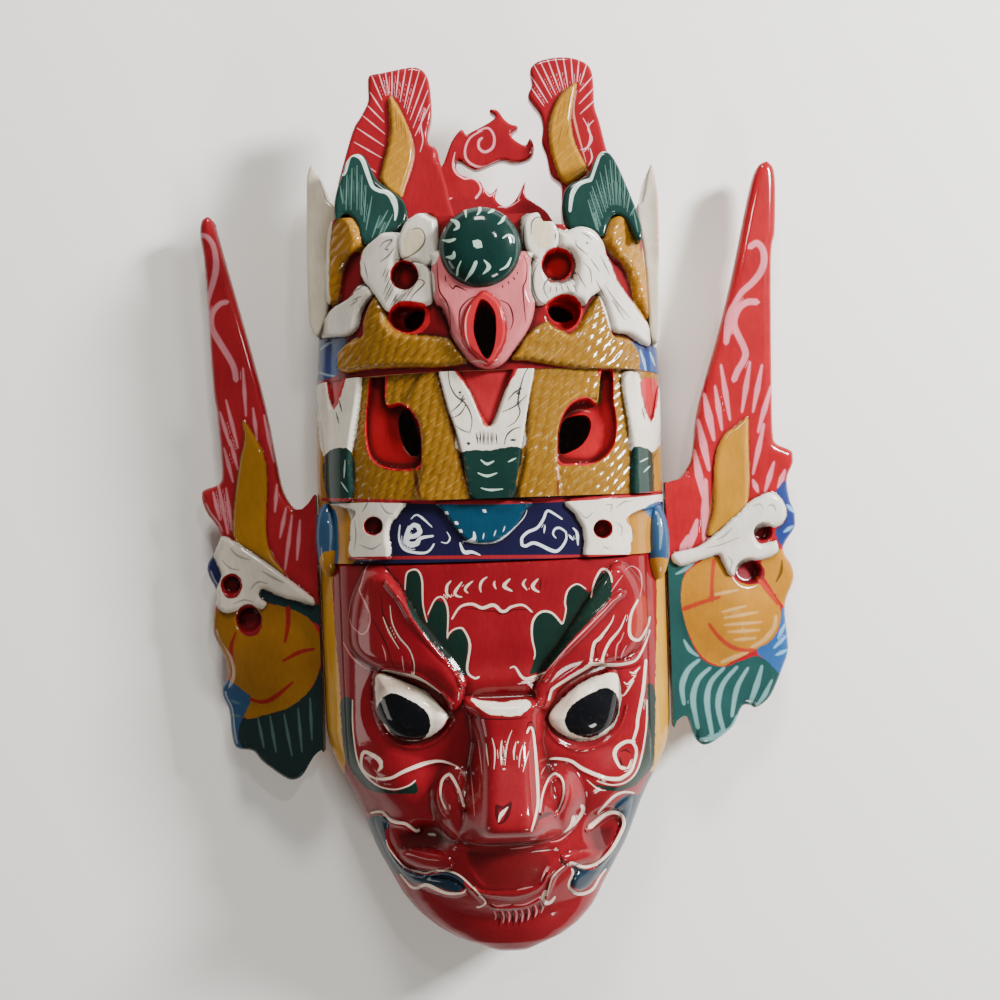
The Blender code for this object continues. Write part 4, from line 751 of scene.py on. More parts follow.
# The face's paint, from the bottom coat up: areas first, then the brush lines over them
faceCoats = {
    "sideGold": {"colour": "#BE8B2C", "areas": [[290,480, 48,0, -4,80, -1,40, 7,90, 3,50, 2,25, -7,13, -48,2],
     [710,480, -55,0, 0,80, 2,40, -2,90, -2,50, -3,20, 5,14, 55,6]]},
    "mouthRed": {"colour": "#6B1218", "soft": 1.6, "areas": [[467,851, 17,-2, 21,1, 25,0, 16,6, 2,10, -7,14, -11,7,
     -20,3, -20,-2, -12,-10, -8,-14]]},
    # mouthCornerShade is painted shade in the hollows beside the mouth
    "mouthCornerShade": {"colour": "#3A0A0E", "soft": 3.5, "share": 0.8, "areas": [[398,833, 17,3, 17,-4, 14,6, -6,11, -20,2,
     -18,-2], [590,833, 10,-5, 11,-1, 1,11, -6,12, -8,2, -6,-9]]},
    "cheekOrange": {"colour": "#A83A2A", "soft": 2, "share": 0.5, "areas": [[638,597, -7,16, -1,17, 8,8, 8,-12, 4,-18,
     -2,-8, -5,-4]]},
    "leafGreen": {"colour": "#10261F", "areas": [[405,582, 3,-9, 8,-2, 5,8, 1,24, 4,19, 5,-13, 7,-9, 7,5, 3,15, -1,20,
     3,-5, 5,-5, 5,-1, 7,9, 0,27, -1,11, -11,-8, -33,-37, -14,-23], [530,674, 2,-7, 3,-15, -3,-24, 5,-12, 9,-4, 12,6,
     5,6, 4,-14, 0,-15, 6,-9, 5,-1, 10,7, 4,5, 2,-11, 6,-13, 8,0, 4,11, -1,12, -5,7, -36,39, -22,26], [352,700, 1,35,
     3,20, 13,25, 19,10, 12,0, 10,-4, 5,-4, 3,9, -6,3, -29,-1, -13,-3, -12,-10, -10,-15, -5,-20, -2,-25, 0,-20],
     [647,686, 1,34, -5,37, -12,22, -9,7, -10,1, -19,-3, 12,6, 12,1, 11,-2, 10,-6, 12,-13, 4,-7, 1,-23, 0,-50]]},
    "tealCorner": {"colour": "#13293A", "areas": [[376,815, 6,1, 6,4, 1,6, -4,6, 2,10, 6,13, 13,14, 18,6, 24,-3, 13,6,
     4,5, -4,8, -11,0, -25,-8, -11,1, -11,-7, -8,-4, -10,-13, -13,-22, -6,-16], [613,811, 1,-6, 10,-9, 8,-2, 8,0,
     8,-18, 8,-4, -4,23, -16,37, -18,28, -12,12, -6,2, -10,11, -7,4, -6,0, -4,-3, -2,-6, 1,-7, 2,-3, -3,-3, 5,0, 14,3,
     13,-9, 20,-31, 1,-13, -7,-6]]},
    "eyeCream": {"colour": "#E6DBC8", "areas": [[377,676, 5,-2, 6,1, 36,15, 8,7, 10,11, 7,8, -2,4, -11,13, -21,8,
     -22,-6, -13,-17, -4,-18, -1,-16], [616,674, -8,-1, -23,8, -20,15, -12,13, -4,11, 11,13, 20,8, 20,-4, 15,-13,
     6,-24, -1,-16], [470,698, 13,3, 19,1, 18,-2, 7,0, 4,3, -1,4, -10,8, -20,0.5, -15,-3.5]]},
    # eyeShade is painted shade in the eyes' inner corners
    "eyeShade": {"colour": "#8F6252", "soft": 4, "share": 0.6, "areas": [[549,716, 7,-11, 20,-15, -4,12, -6,10, -3,12,
     -1,10, -9,-8], [376,677, 8,-2, 16,6, 16,7, -4,6, -16,-5, -12,3, -6,8]]},
    "pupil": {"colour": "#07080D", "areas": [[385,696, 12,-2, 23,12, 9,10, 1,13, -5,8, -6,3, -14,0, -12,-5, -7,-10,
     -5,-3, -4,-14], [603,688, 11,3, 5,12, -2,14, -11,13, -17,8, -17,-5, -5,-5, -2,-9, 4,-10, 11,-10]]},
    # darkLine: dark painted lines; the one at 470,717 under the raised plate at the nose's root is painted shade
    "darkLine": {"colour": "#2E090C", "share": 0.85, "lines": {1: [[361,595, 0,-15, 3,-12, 4,-7, 6,-1, 6,2, 6,5, 5,7,
     10,12, 6,17], [526,731, 2,-7, 3,-2, 3,5, 3,21], [620,752, 5,-2, 6,3]], 0.8: [[381,595, 2,19, 4,8, 6,14],
     [370,615, 15,27, 6,18, 4,8], [449,585, 0,7, 3,4], [470,717, 15,2, 30,0, 12,-2], [553,697, 5,-6, 15,-11, 17,-9,
     18,-4, 8,2, 16,-2, 8,-4]], (1, 1.1, 0.8): [[385,673, 38,15, 8,2, 10,6]], 0.7: [[462,608, 8,0, 16,3, 9,0, 5,3,
     7,-1, 6,-3, 15,0, 5,5, 3,2]], 0.6: [[613,621, -4,9, -12,14, -1,8, 3,16]], 1.4: [[540,800, 0,15, -6,15]], 1.3:
     [[620,757, 1,6, 3,4]], (1.6, 2.4, 0.5): [[541,817, 4,-2, 8,-2.5]], 2.2: [[496,805, 1,10, 2,9], [499,824, 6,-4,
     5,-12, 1,-6]], 2: [[497,805, 7,3, 7,-6]], 1.2: [[499,911, 1,7, -1,5], [505,910, 1,7, 0,5], [512,909, 1,7, -1,6],
     [519,909, 1,6, -1,7], [525,908, 1,6, -1,6], [532,906, 1,6, -1,5], [539,903, 1,6, -1,4]]}, "ticks": {0.7:
     [541,578, -1,12], 1.6: [492,906, 2,4]}},
    # Pink brush lines, and painted highlights: the strokes at 510,849 under the nose tip, at 442,830 on the left
    # nostril wing and at 548,866 by the mouth, and part of the long stroke down the right brow's edge from 622,595
    "pinkLinesAndHighlights": {"colour": "#D98A8C", "share": 0.75, "lines": {0.7: [[371,563, -5,5, -5,17, -1,7, 10,23], [402,656,
     1,8, 1,7], [382,645, 3,8, 1,8], [624,632, -3,8, -4,6, -2,15], [550,842, 10,-2, 12,-9]], 0.8: [[350,618, 2,8, 9,8,
     5,-2, 3,-6, 1,-8, -2,-10, -7,-14], [541,775, 2,-5, 3,-4], [510,849, 10,-1, 13,-2], [514,905, 12,-1, 15,-8]], 0.9:
     [[343,642, 9,15, 12,10, 12,4], [622,595, -10,7, -8,9, -39,39, -24,28], [442,830, 3,5, 5,4], [517,890, 9,-2,
     7,-1.5], [494,911, 2,5, -1,4], [541,902, 2,6, -2,5]], 0.6: [[627,645, -4,7, -2,8], [611,592, 6,-9, 6,-8],
     [625,570, 7,-4, 8,6, 2,13, -2,12], [469,755, 3.5,35, 2,26], [478,740, 3,23, 1,12]], 1: [[548,866, -3,5, -4,11],
     [492,904, 6,2, 13,-1.5], [528,908, 1.5,5, -1.5,7], [535,905, 2,6, -2,6]], 1.1: [[502,911, 2,6, -1,6], [521.5,910,
     1.5,5, -1,7]], 1.2: [[508,911, 2,5, -1,6], [515,910, 2,5, -1,7]]}},
    # Cream brush lines; the strokes at 510,668 and 518,684 by the right eye's inner corner and the one down the right
    # side from 646,660 into the spiral at 632,742 are partly painted glints and sheen
    "creamLinesAndHighlights": {"colour": "#E2C9B8", "lines": {(0.6, 0.9, 0.5): [[405,590, 1,-14, 3,-5, 8,-1, 5,10, 1,25, 4,17]],
     (0.5, 0.9, 0.5): [[428,614, 6,-13, 5,-4, 5,2, 4,13, -1,27], [563,624, 3,-14, -1,-8, 3,-12, 9,-6, 9,5]], (0.5,
     1.2, 1): [[447,639, 2,-5, 4,-4, 6,-2, 5,2, 6,15, -3,25, 7,8, 5,-1]], 0.8: [[383,617, 6,15, 10,17], [390,605,
     2,17, 7,15, 10,12, 5,14, 0,12], [587,780, 11,9, 8,1.5], [492,738, 3,13, -1,18]], (1, 1.7, 0.4): [[382,671, 6,0,
     13,3, 19,5, 21,14]], 1.6: [[451,581, -4,5, 0,8, 4,3]], 1.5: [[462,582, -7,10, 2,4, 5,1]], 1.4: [[473,581, -6,5,
     -2,4, 3,3], [487,577, -5,4, -2,6, 1,5]], 1.2: [[495,581, -1,3, 2,5], [630,672, 4,1, 6,-6]], 1.9: [[510,579, -6,7,
     8,5], [538,579, -5,6, 1,4, 5,3]], 1.3: [[526,579, -3,5, 4,6]], (0.8, 1.7, 0.8): [[452,619, 8,-12, 12,-3, 10,4,
     10,-3, 5,2, 4,4, 5,0, 5,-4, 12,-2, 9,7]], (0.6, 1.1, 0.9): [[534,659, 1,-7, -3,-15, 1,-16, 8,-9, 11,1, 10,11]],
     (0.5, 1.1, 0.8): [[591,598, 3,-15, 6,-12, 4,-2, 4,2, 3,5, 1,6]], (0.6, 1.6, 0.5): [[510,668, 5,-1, 6,9, 5,3,
     7,-2, 13,-5]], 1: [[518,684, 15,-3, 6,-4], [624,682, 4,2, 8,-9], [621,696, 4,-2, 9,-14], [622,766, 6,2, 3,-8],
     [516,742, -2,9, 0,9]], (0.3, 1.6, 1.4): [[614,615, -3,8, -11,15, -6,6, -3,18]], (0.3, 1.4, 1.3): [[626,615,
     -6,14, -11,14, -6,14, 0,7]], (1, 1.6, 0.8): [[638,600, -7,15, -1,20, 9,5, 8,-12, 3,-11], [572,869, 1,5, -4,12,
     9,8, 14,-4, 8,-13, 6,-8]], (1.2, 1.8, 0.6): [[549,700, 2,-8, 4,-5, 31,-19, 7,-4, 15,1, 16,-1, 13,-5, 9,-17,
     4,-12]], (1.3, 1.9, 1.3): [[646,660, -3,32, -5,26, -1,10, -4,13]], (1.2, 2.1, 0.4): [[377,779, 14,-1, 14,-7,
     23,-8.5, 15,-1, 13,4.5, 5,4]], (0.8, 1.4, 2.4): [[377,779, -7,-3, -6,-5, -3,-7, 3,-12, 13,6, 4,5]], 2: [[381,762,
     0,5, -3,4]], (0.6, 0.8, 0.7): [[352.5,700, 0.5,30, 6,35, 16,19, 18,5.5, 15,-3.5, 7.5,-5.5]], (1, 1.9, 2):
     [[550,759, 8,-0.5, 13,2.5, 12,8, 22,9, 15,1]], (2, 1.2, 1.6): [[620,779, 11,-8, 5,-15, 0,-8, -3.5,-6]], (1.6, 2,
     1): [[632.5,742, -5.5,-0.5, -7,3.5, -4.5,5, -0.5,7, 5,10, 5,2]], (0.6, 0.8, 0.6): [[647,700, -1,30, -7,36,
     -11,15, -16,4, -15,-4]], (0.9, 1.6, 0.9): [[527,733, 3,-5.5, 4,8.5, 4,54, -1,20, -5.5,21]], 0.7: [[486,743, 1,11,
     1.5,12], [512,730, -5,15, -2,21]], 1.1: [[502,740, -1,11, 0.5,14]], 0.6: [[523,745, -3,10, -1,13], [529,751,
     -4,13, -2,8]], (1.2, 1.5, 0.6): [[464,806.5, -5,-16.5, -7,-13, -4,-2.5, -6.5,7.5, -0.5,16, 5,11]], (0.6, 1.1,
     0.7): [[540,812, 2.5,-17, 5.5,-15, 7,-6.5, 7.5,6.5, 1,15, -4.5,13, -3,4]], (1.9, 1.6, 0.4): [[574,817, -3,9,
     -7,6.5]], (1.9, 1.7, 0.4): [[582,806, 1,5, -9,15]], (0.5, 2.2, 0.5): [[498.5,822, 2.5,-7, 7,-8]], (0.9, 1.6,
     1.4): [[371,813, 11,-1, 10,9, 14,3, 10,7, 3,-1.5]], (0.5, 0.9, 0.8): [[386,840, 4,10, 15,17, 19,6, 9,-2, 17,0.5,
     13,6.5, 17,17, 5,6, 0,3, -5,3, -3,0]], (0.6, 1.8, 0.7): [[400,874, 10,12, 7,2, 7,-3, 6,1, 16,7, 16,0, 4,-4]],
     (0.9, 1.4, 0.8): [[598,813, 13,-14, 7,-5, 8,-2, 8,1]], (2.6, 1.6, 1.8): [[590,827, 16,-13, 12,-1, 5,5, 1,7,
     -3,8]], (1.8, 1.5, 1.4): [[621,833, -9,16, -13,13, -14,5, -13,-4, -2,2]], 0.9: [[567,864, -12,10, -4,7, -4,15]],
     (1.2, 2, 1): [[545,891, -2,7, 3,5, 5,-1, 4,-5]]}}}
facePaint = lacqueredPaint("red_lacquered_wood_face", "#7E111B", faceCoats)
carvedFace = hollowedPiece("carvedFace", faceSheet, faceInside, [facePaint, bareInside])
withMarks(carvedFace, surfaceMarks(faceSheet[:, :, 2], face["spacing"]), faceSheet[:, :, 2].size)
paintFields(carvedFace, faceCoats)
ready(carvedFace, "mask_body")

# The crown's relief, drawn on the sheet. Each form: its outline, how far it stands off the log in millimetres
# and the width of its rounded edge
bandForms = [
    ("halfDisc", [441,500, 5,15, 16,22, 13,6, 15,0, 11,-3, 10,-8, 14,-21, 2,-11], 2, 1.5),
    ("knotLeft", [330,498, 72,1, -4,16, -6,7, -3,13, 0,25, -38,0, -1,-20, 1,-15, 5,-13, -14,-5], 3, 2),
    ("knotRight", [570,499, 90,-6, 0,12, -27,9, -5,5, 4,13, -1,15, -6,13, -39,0, -2,-18, -2,-14, -7,-13], 3, 2)]
tierForms = [
    ("tieMiddle", [437,360, 15,0, 18,32, 20,34, 14,-33, 13,-33, 17,0, -5,40, -8,49, -9,50, -39,0, -12,-47, -6,-22,
     -10,-30], 3, 1.2),
    ("tieLeft", [314,378, 13,2, 6,27, 14,-33, 15,-1, -10,77, 0,49, -26,0, -2,-47], 3, 1.2),
    ("tieRight", [621,378, 18,-2, 12,44, 8,-36, 9,8, -10,55, -5,13, -1,39, -20,0, -1,-49], 3, 1.2),
    ("goldBandLeft", [403,404, 30,-42, 13,38, 9,38, 8,32, 9,30, -55,0, 3,-30, 0,-40, -7,-16], 1.6, 3),
    ("goldBandRight", [534,362, 68,6, -2,30, -10,-1, -15,5, -11,10, -5,18, -1,28, 2,42, -40,0, 3,-30, 5,-40], 1.6, 3)]
topForms = [
    ("earCurlLeft", [406,222, 14,-10, 10,4, 7,6, 1,28, -2,12, -10,4, -8,-4, -14,-2, -4,-10, 0,-12], 5.5, 2.2),
    ("headLeft", [402,232, -16,-1, -8,5, -14,14, -3,18, 3,12, 7,8, 13,20, 6,3, 8,-7, 6,-12, -4,-12, -2,-16, 4,-12,
     2,-11], 5, 3.2),
    ("curlLeft", [412,262, 14,0, 7,13, 1,15, -2,12, -8,4, -12,-1, -14,-2, -2,-11, 14,-4, 9,-12], 4.8, 2.2),
    ("tailLeft", [371,286, -11,-1, -10,13, -15,9, -10,12, -8,12, 2,6, 19,0, 12,-2, 8,-7, 4,-16, 6,-11, 6,-7], 4.5, 2),
    ("earCurlRight", [521,223, 6,-9, 10,-3, 9,1, 11,18, -1,18, -11,5, -7,9, -8,-5, -7,-11], 5.5, 2.2),
    ("headRight", [556,230, 8,1, 7,-4, 10,-2, 11,4, 9,11, 5,16, 5,14, -5,15, -16,12, -6,9, -7,-5, -8,-6, 4,-15, 2,-18,
     -7,-12, -10,-4], 5, 3.2),
    ("curlRight", [533,256, 12,-4, 3,12, -3,10, 5,8, 10,1, 12,-4, 1,14, -11,2, -17,9, -9,0, -6,-14, 0,-18], 4.8, 2.2),
    ("tailRight", [598,262, 8,-6, 5,11, 8,18, 24,33, 7,12, 0,15, -10,-2, -14,-9, -14,-3, -5,-13, -5,-15, -6,-15], 4.6,
     2),
    ("goldLeft", [378,295, 6,10, 3,13, 8,12, 15,4, 20,1, 18,3, 10,8, 9,16, -27,5, -30,0, -40,2, -23,4, -9,-5, 0,-13,
     7,-10, 11,-7, 7,-3, 1,-13, 4,-14, 6,-11], 4, 3),
    ("goldRight", [598,295, 6,11, 4,14, 4,14, 8,2, 10,4, 7,10, 3,12, -2,13, -18,-2, -60,-7, -30,-5, -19,-2, 5,-11,
     6,-10, 10,-9, 13,-7, 11,1, 7,8, 8,2, 8,-8, 13,-24], 4, 3),
    ("archLeft", [331,302, -1,-32, 2,-35, 4,-14, 7,-8, 7,-1, 7,8, 5,11, 1,11, -5,10, -8,5, -5,11, -3,17, -3,18], 6,
     2.4),
    ("archRight", [603,238, 4,-15, 6,-8, 8,-1, 7,7, 7,14, 4,15, 6,40, 1,29, -6,-6, -8,-15, -4,-17, -7,-15, -9,-9], 6,
     2.4),
    ("beak", [431,262, 5,-12, 90,0, 5,12, 0,28, 4,15, -6,23, -19,28, -10,10, -12,3, -14,-4, -11,-10, -11,-17, -4,-16,
     -6,-14, -8,-8], 8, 5),
    ("lips", [484,291, -8,5, -8,9, -5,12, -2,15, 4,14, 12,13, 11,7, 12,-13, 6,-16, -1,-21, -8,-17], 9.6, 2)]
# Places cut down to a flat floor, and openings that go through into the hollow
recesses = [
    ("tier", [371,372, 13,-2, 1,34, 14,0, 9,5, 8,11, 4,16, 1,19, -3,11, -18,3, -18,-3, -10,-7, -5,-14, -1,-25, 4,-40],
     70),
    ("tier", [602,371, 10,2, 1,27, 3,20, -1,20, -6,12, -9,8, -10,3, -15,0, -15,-2, -2,-21, 2,-16, 8,-16, 9,-7, 11,-2,
     10,3], 70),
    ("top", oval(404, 275, 13.5, 14, 12), 80),
    ("top", oval(557, 264, 15, 16, 12), 80),
    ("band", oval(373, 526, 9, 9, 10), 69),
    ("band", oval(603, 529, 9, 9, 10), 69)]
openings = [
    ("tier", [400,413, 4,-4, 6,3, 9,23, 1,17, -8,4, -8,-9, -5,-15, -1,-11], 72),
    ("tier", [560,453, 0,-23, 4,-10, 8,-4, 13,-1, 6,6, -1,11, -7,12, -11,7], 72),
    ("top", [482,302, 8,5, 6,13, -1,26, -7,15, -8,-9, -6,-18, 1,-16, 3,-10], 92),
    ("top", [403,323, 1,-9, 6,-5, 8,-2, 7,4, 0,8, -6,7, -10,3], 84),
    ("top", [548,312, 3,-8, 8,-2, 10,3, 6,6, -2,7, -8,3, -10,-1], 84)]
# The eye holes widen into red funnels before they reach the front
funnels = [((407, 317), (17, 15), 9.0), ((563, 312), (17, 18), 9.0)]


def sheetRelief(x, y, z, forms):
    # The highest of the raised forms at each of the log's points; size is the millimetres in a sheet unit
    across, along = toSheet(x, y, z)
    size = (sheet["eyeHeight"] - z) / sheet["reach"]
    relief = np.zeros(np.shape(x))
    for name, area, height, edge in forms:
        relief = np.maximum(relief, puff(insideDistance(across, along, drawn(area)) * size, height, edge))
    return relief


# Where the forms stop leaning outwards and stop rising, from the middle line; a recess's wall; a funnel's
# curve, and its lip's height and place; the two ends of an opening's cutter
crownCut = {"leanTo": (70.0, 87.0), "riseTo": (90.4, 88.0), "wall": (-0.6, 1.2), "funnelCurve": 0.6, "lip": 2.0,
            "lipAt": (1.05, 0.95), "cutter": (30.0, 125.0)}


def liftedSheet(base, relief):
    # Moves the front off the log along its own slope; close to the side walls only upwards, and less
    slope = np.gradient(base, axis=1)
    normal = np.stack([-slope[:, :, 2], slope[:, :, 0]], axis=2)
    normal /= np.maximum(np.linalg.norm(normal, axis=2, keepdims=True), 1e-9)
    away = np.abs(base[:, :, 0] - middleLine(base[:, :, 1]))
    sideways = normal[:, :, 0] * (1.0 - smooth(*crownCut["leanTo"], away))
    lifted = base.copy()
    lifted[:, :, 0] += relief * sideways
    lifted[:, :, 2] += (relief * np.sqrt(np.clip(1.0 - sideways ** 2, 0.0, 1.0))
                        * smooth(*crownCut["riseTo"], away))
    return lifted


def sunk(points, stretchName):
    # Drops the points inside each recess to its floor, over a wall a millimetre wide
    across, along = toSheet(*np.moveaxis(points, 2, 0))
    for name, area, floorHeight in recesses:
        if name == stretchName:
            share = smooth(*crownCut["wall"], insideDistance(across, along, drawn(area)))
            points[:, :, 2] = np.minimum(points[:, :, 2], points[:, :, 2] * (1 - share) + floorHeight * share)
    if stretchName == "top":
        for middle, halfSizes, depth in funnels:
            away = np.hypot((across - middle[0]) / halfSizes[0], (along - middle[1]) / halfSizes[1])
            points[:, :, 2] -= (depth * np.clip(1.0 - away ** 2, 0.0, 1.0) ** crownCut["funnelCurve"]
                                + crownCut["lip"] * smooth(*crownCut["lipAt"], away))
    return points


def pierced(piece, stretchName):
    # Cuts the openings straight down through the shell, with walls painted as the front is
    rings = [drawn(fromSheet(area, lambda x, y, z=height: np.full(np.shape(x), z)))
             for name, area, height in openings if name == stretchName]
    points, faces, start = [], [], 0
    for ring in rings:
        count = len(ring)
        turned = np.sum(ring[:, 0] * np.roll(ring[:, 1], -1) - ring[:, 1] * np.roll(ring[:, 0], -1))
        ring = ring if turned > 0 else ring[::-1]
        points += [np.column_stack([ring, np.full(count, z)]) for z in crownCut["cutter"]]
        low = start + np.arange(count)
        high = low + count
        faces += [low[::-1].tolist(), high.tolist()]
        faces += np.stack([low, np.roll(low, -1), np.roll(high, -1), high], axis=1).tolist()
        start += 2 * count
    mesh = bpy.data.meshes.new("cutter")
    place = (np.concatenate(points) + (sheet["shiftX"], sheet["shiftY"], 0.0)) * 0.001
    mesh.from_pydata(place.tolist(), [], faces)
    cutter = bpy.data.objects.new("cutter", mesh)
    bpy.context.scene.collection.objects.link(cutter)
    step = piece.modifiers.new("openings", "BOOLEAN")
    step.operation, step.solver, step.object = "DIFFERENCE", "EXACT", cutter
    bpy.context.view_layer.update()
    cut = bpy.data.meshes.new_from_object(piece.evaluated_get(bpy.context.evaluated_depsgraph_get()))
    piece.modifiers.clear()
    old, piece.data = piece.data, cut
    bpy.data.objects.remove(cutter)
    for spare in (old, mesh):
        bpy.data.meshes.remove(spare)
    finishMesh(cut, sharpAngle)


# Free tips: the upper face's height at the log's end and its drop per millimetre beyond it, the same for the
# lower face, the grid's spacing with the edge's radius and drop, and the outline on the sheet
tips = {
    "leftWing": {"height": 57, "drop": 0.08, "low": 46, "lowDrop": 0.06, "edge": (0.6, 2.2, 1.4), "outline": [368,73,
     12,-3, 23,-5, 10,-1, 7,2, 5,5, 4,11, 2,30, -4,21, 2,10, 6,5, 1,12, 5,8, 9,34, 2,44, -104,0, -7,-31, -3,-27,
     2,-13, 12,-45, 8,-15, 7,-15, 0,-14]},
    "rightWing": {"height": 57, "drop": 0.08, "low": 46, "lowDrop": 0.06, "edge": (0.6, 2.2, 1.4), "outline": [530,68,
     4,-7, 7,-4, 14,-3, 15,0, 13,4, 8,7, 3,15, 1,24, 5,17, 6,25, 14,54, 2,46, -66,0, 7,-20, -1,-26, -1,-16, -10,-10,
     -4,-19, -5,-15, 1,-14, -3,-14, -8,-11, -4,-8, 4,-11]},
    "leftFan": {"height": 79, "drop": 0.2, "low": 60, "lowDrop": 0.1, "edge": (0.5, 2.2, 1.4), "outline": [337,186,
     4,-12, 3,-12, 6,-9, 7,-2, 6,2, 7,13, 8,14, 20,15, 7,9, 2,10, -3,12, -9,10, -12,4, -13,8, -9,-8, -4,-15, -7,-9,
     -7,-1, -7,5, -2,-15]},
    "rightFan": {"height": 79, "drop": 0.2, "low": 60, "lowDrop": 0.1, "edge": (0.5, 2.2, 1.4), "outline": [601,150,
     6,-1, 6,5, 8,16, 18,49, 2,21, -6,0, -8,-17, -8,-7, -7,1, -5,9, -4,12, -11,-5, -12,-4, -9,1, -6,-7, -3,-18, 3,-15,
     7,-8, 11,-4, 7,-7, 4,-11]},
    "crest": {"height": 50, "drop": 0.06, "low": 41, "lowDrop": 0.06, "edge": (0.5, 1.6, 1), "outline": [432,150, 5,0,
     5,16, 9,-24, 10,-13, 5,5, 6,-3, 18,-10, 5,-6, -6,-6, 8,0, 7,9, 6,5, 8,3, -6,6, 1,6, 12,7, 5,-7, 4,8, -2,10,
     -10,5, -10,1, -12,-2, -20,8, -8,0, -14,-8, -2,8, 5,7, 18,6, 5,8, 6,5, 5,-3, 3,-6, -3,12, 4,7, 7,3, 7,-4, 5,-7,
     7,-14, 0,10, 3,7, 17,12, 8,11, 15,18, -2,10, -130,0, -4,-50]},
    "leftFin": {"height": 60, "drop": 0.2, "low": 14, "lowDrop": -0.5, "edge": (0.6, 1.6, 0.8), "outline": [307,169,
     4,-6, 6,10, 9,25, 8,9, 1,23, -1,50, -3,25, -7,20, -6,12, -5,-7, -3,-20, -4,-115]},
    "rightFin": {"height": 60, "drop": 0.2, "low": 14, "lowDrop": -0.5, "edge": (0.6, 1.6, 0.8), "outline": [651,164,
     2,-1, 2,9, 3,30, 0,88, 1,30, -1,20, -4,4, -4,-9, -2,-20, -4,-55, -6,-38, -1,-16, 4,-3, 3,-9, 4,-22]}}
leaves = {
    "leftWing": [389,98, 9,8, 12,26, 3,18, -2,18, -5,16, -5,13, -11,-5, -9,-11, 1,-13, 8,-33],
    "rightWing": [576,83, -11,7, -9,12, -6,18, -1,20, 4,20, 7,18, 8,6, 12,-7, 7,-7, -6,-14, -7,-16, -3,-22, 3,-20]}

# The band, the scaly tier and the top tier: where each stands, its rows, its depth and the hollow's two ends
stretches = {
    "headBand": {"rows": 56, "low": -29.0, "high": 1.0, "depth": log["band"], "inner": (-28.0, 1.0)},
    "scaledTier": {"rows": 112, "low": 1.0, "high": 62.0, "depth": log["tier"], "inner": (1.0, 62.0)},
    "topTier": {"rows": 136, "low": 62.0, "high": 136.0, "depth": log["top"], "inner": (62.0, 136.0)}}
# All three: columns, how many to one column of the hollow, and how close they stand low on the sides. The top
# tier's end reaches up or stays back by some millimetres between four places across it, and is lowered to
# fanSeat under the fans.
crown = {"columns": 480, "step": 8, "sectionDepth": 90.0, "lowShare": 0.5, "drawnAt": 4.0, "cutsTo": 0.9,
         "endFrom": (124.0, 136.0), "ends": ((3.6, -79, -76, -62, -58), (2.0, -36, -32, -25, -22),
                                             (1.0, 60, 63, 70, 74), (-5.0, 25, 28, 40, 44)),
         "fanSeat": 76.0, "fanEdge": (-1.0, 1.0), "fanFlat": (1.0, 0.2), "fanFrom": (120.0, 124.0)}


def crownStretch(name, stretchName, forms, paint, coats):
    # One stretch of the log with its forms, recesses, cuts and openings; its own hollow closes it behind
    values = stretches[name]
    columns = sectionColumns(crown["columns"] + 1, log["fullHalf"], crown["sectionDepth"], log["rim"],
                             crown["lowShare"])
    rows = np.linspace(values["low"], values["high"], values["rows"] + 1)
    base = outerSheet(columns, rows, values["depth"])
    if name == "topTier":
        x = base[0, :, 0]
        reachUp = sum(far * smooth(a, b, x) * smooth(d, c, x) for far, a, b, c, d in crown["ends"])
        base[:, :, 1] += smooth(*crown["endFrom"], base[:, :, 1]) * reachUp[None, :]
    relief = sheetRelief(base[:, :, 0], base[:, :, 1], base[:, :, 2] + crown["drawnAt"], forms)
    relief = relief * (np.abs(columns) <= 1.0)[None, :]
    front = sunk(liftedSheet(base, relief), stretchName)
    if name == "topTier":
        across, along = toSheet(*np.moveaxis(front, 2, 0))
        for fan in ("leftFan", "rightFan"):
            share = smooth(*crown["fanEdge"], insideDistance(across, along, drawn(tips[fan]["outline"])))
            share = share * smooth(*crown["fanFlat"], relief) * smooth(*crown["fanFrom"], front[:, :, 1])
            front[:, :, 2] -= share * np.maximum(front[:, :, 2] - crown["fanSeat"], 0.0)
    across, along = toSheet(*np.moveaxis(front, 2, 0))
    front[:, :, 2] -= goldCuts(across, along, coats) * (np.abs(columns) < crown["cutsTo"])[None, :]
    innerRows = rows[::crown["step"]].copy()
    innerRows[[0, -1]] = values["inner"]
    if name == "topTier":
        stepAt(innerRows, log["endSolid"])
    inside = hollowSheet(innerRows, crown["columns"] // crown["step"] + 1,
                         lambda y: np.full(np.shape(y), values["depth"]))
    piece = hollowedPiece(name, front, inside, [paint, bareInside])
    spacing = (values["high"] - values["low"]) / values["rows"]
    withMarks(piece, surfaceMarks(front[:, :, 2], spacing), front[:, :, 2].size)
    if any(opening[0] == stretchName for opening in openings):
        pierced(piece, stretchName)
    paintFields(piece, coats)
    ready(piece, "mask_body")


def formOutlines(forms, *names):
    # The outlines of the forms of those names
    return [area for name, area, height, edge in forms if name in names]


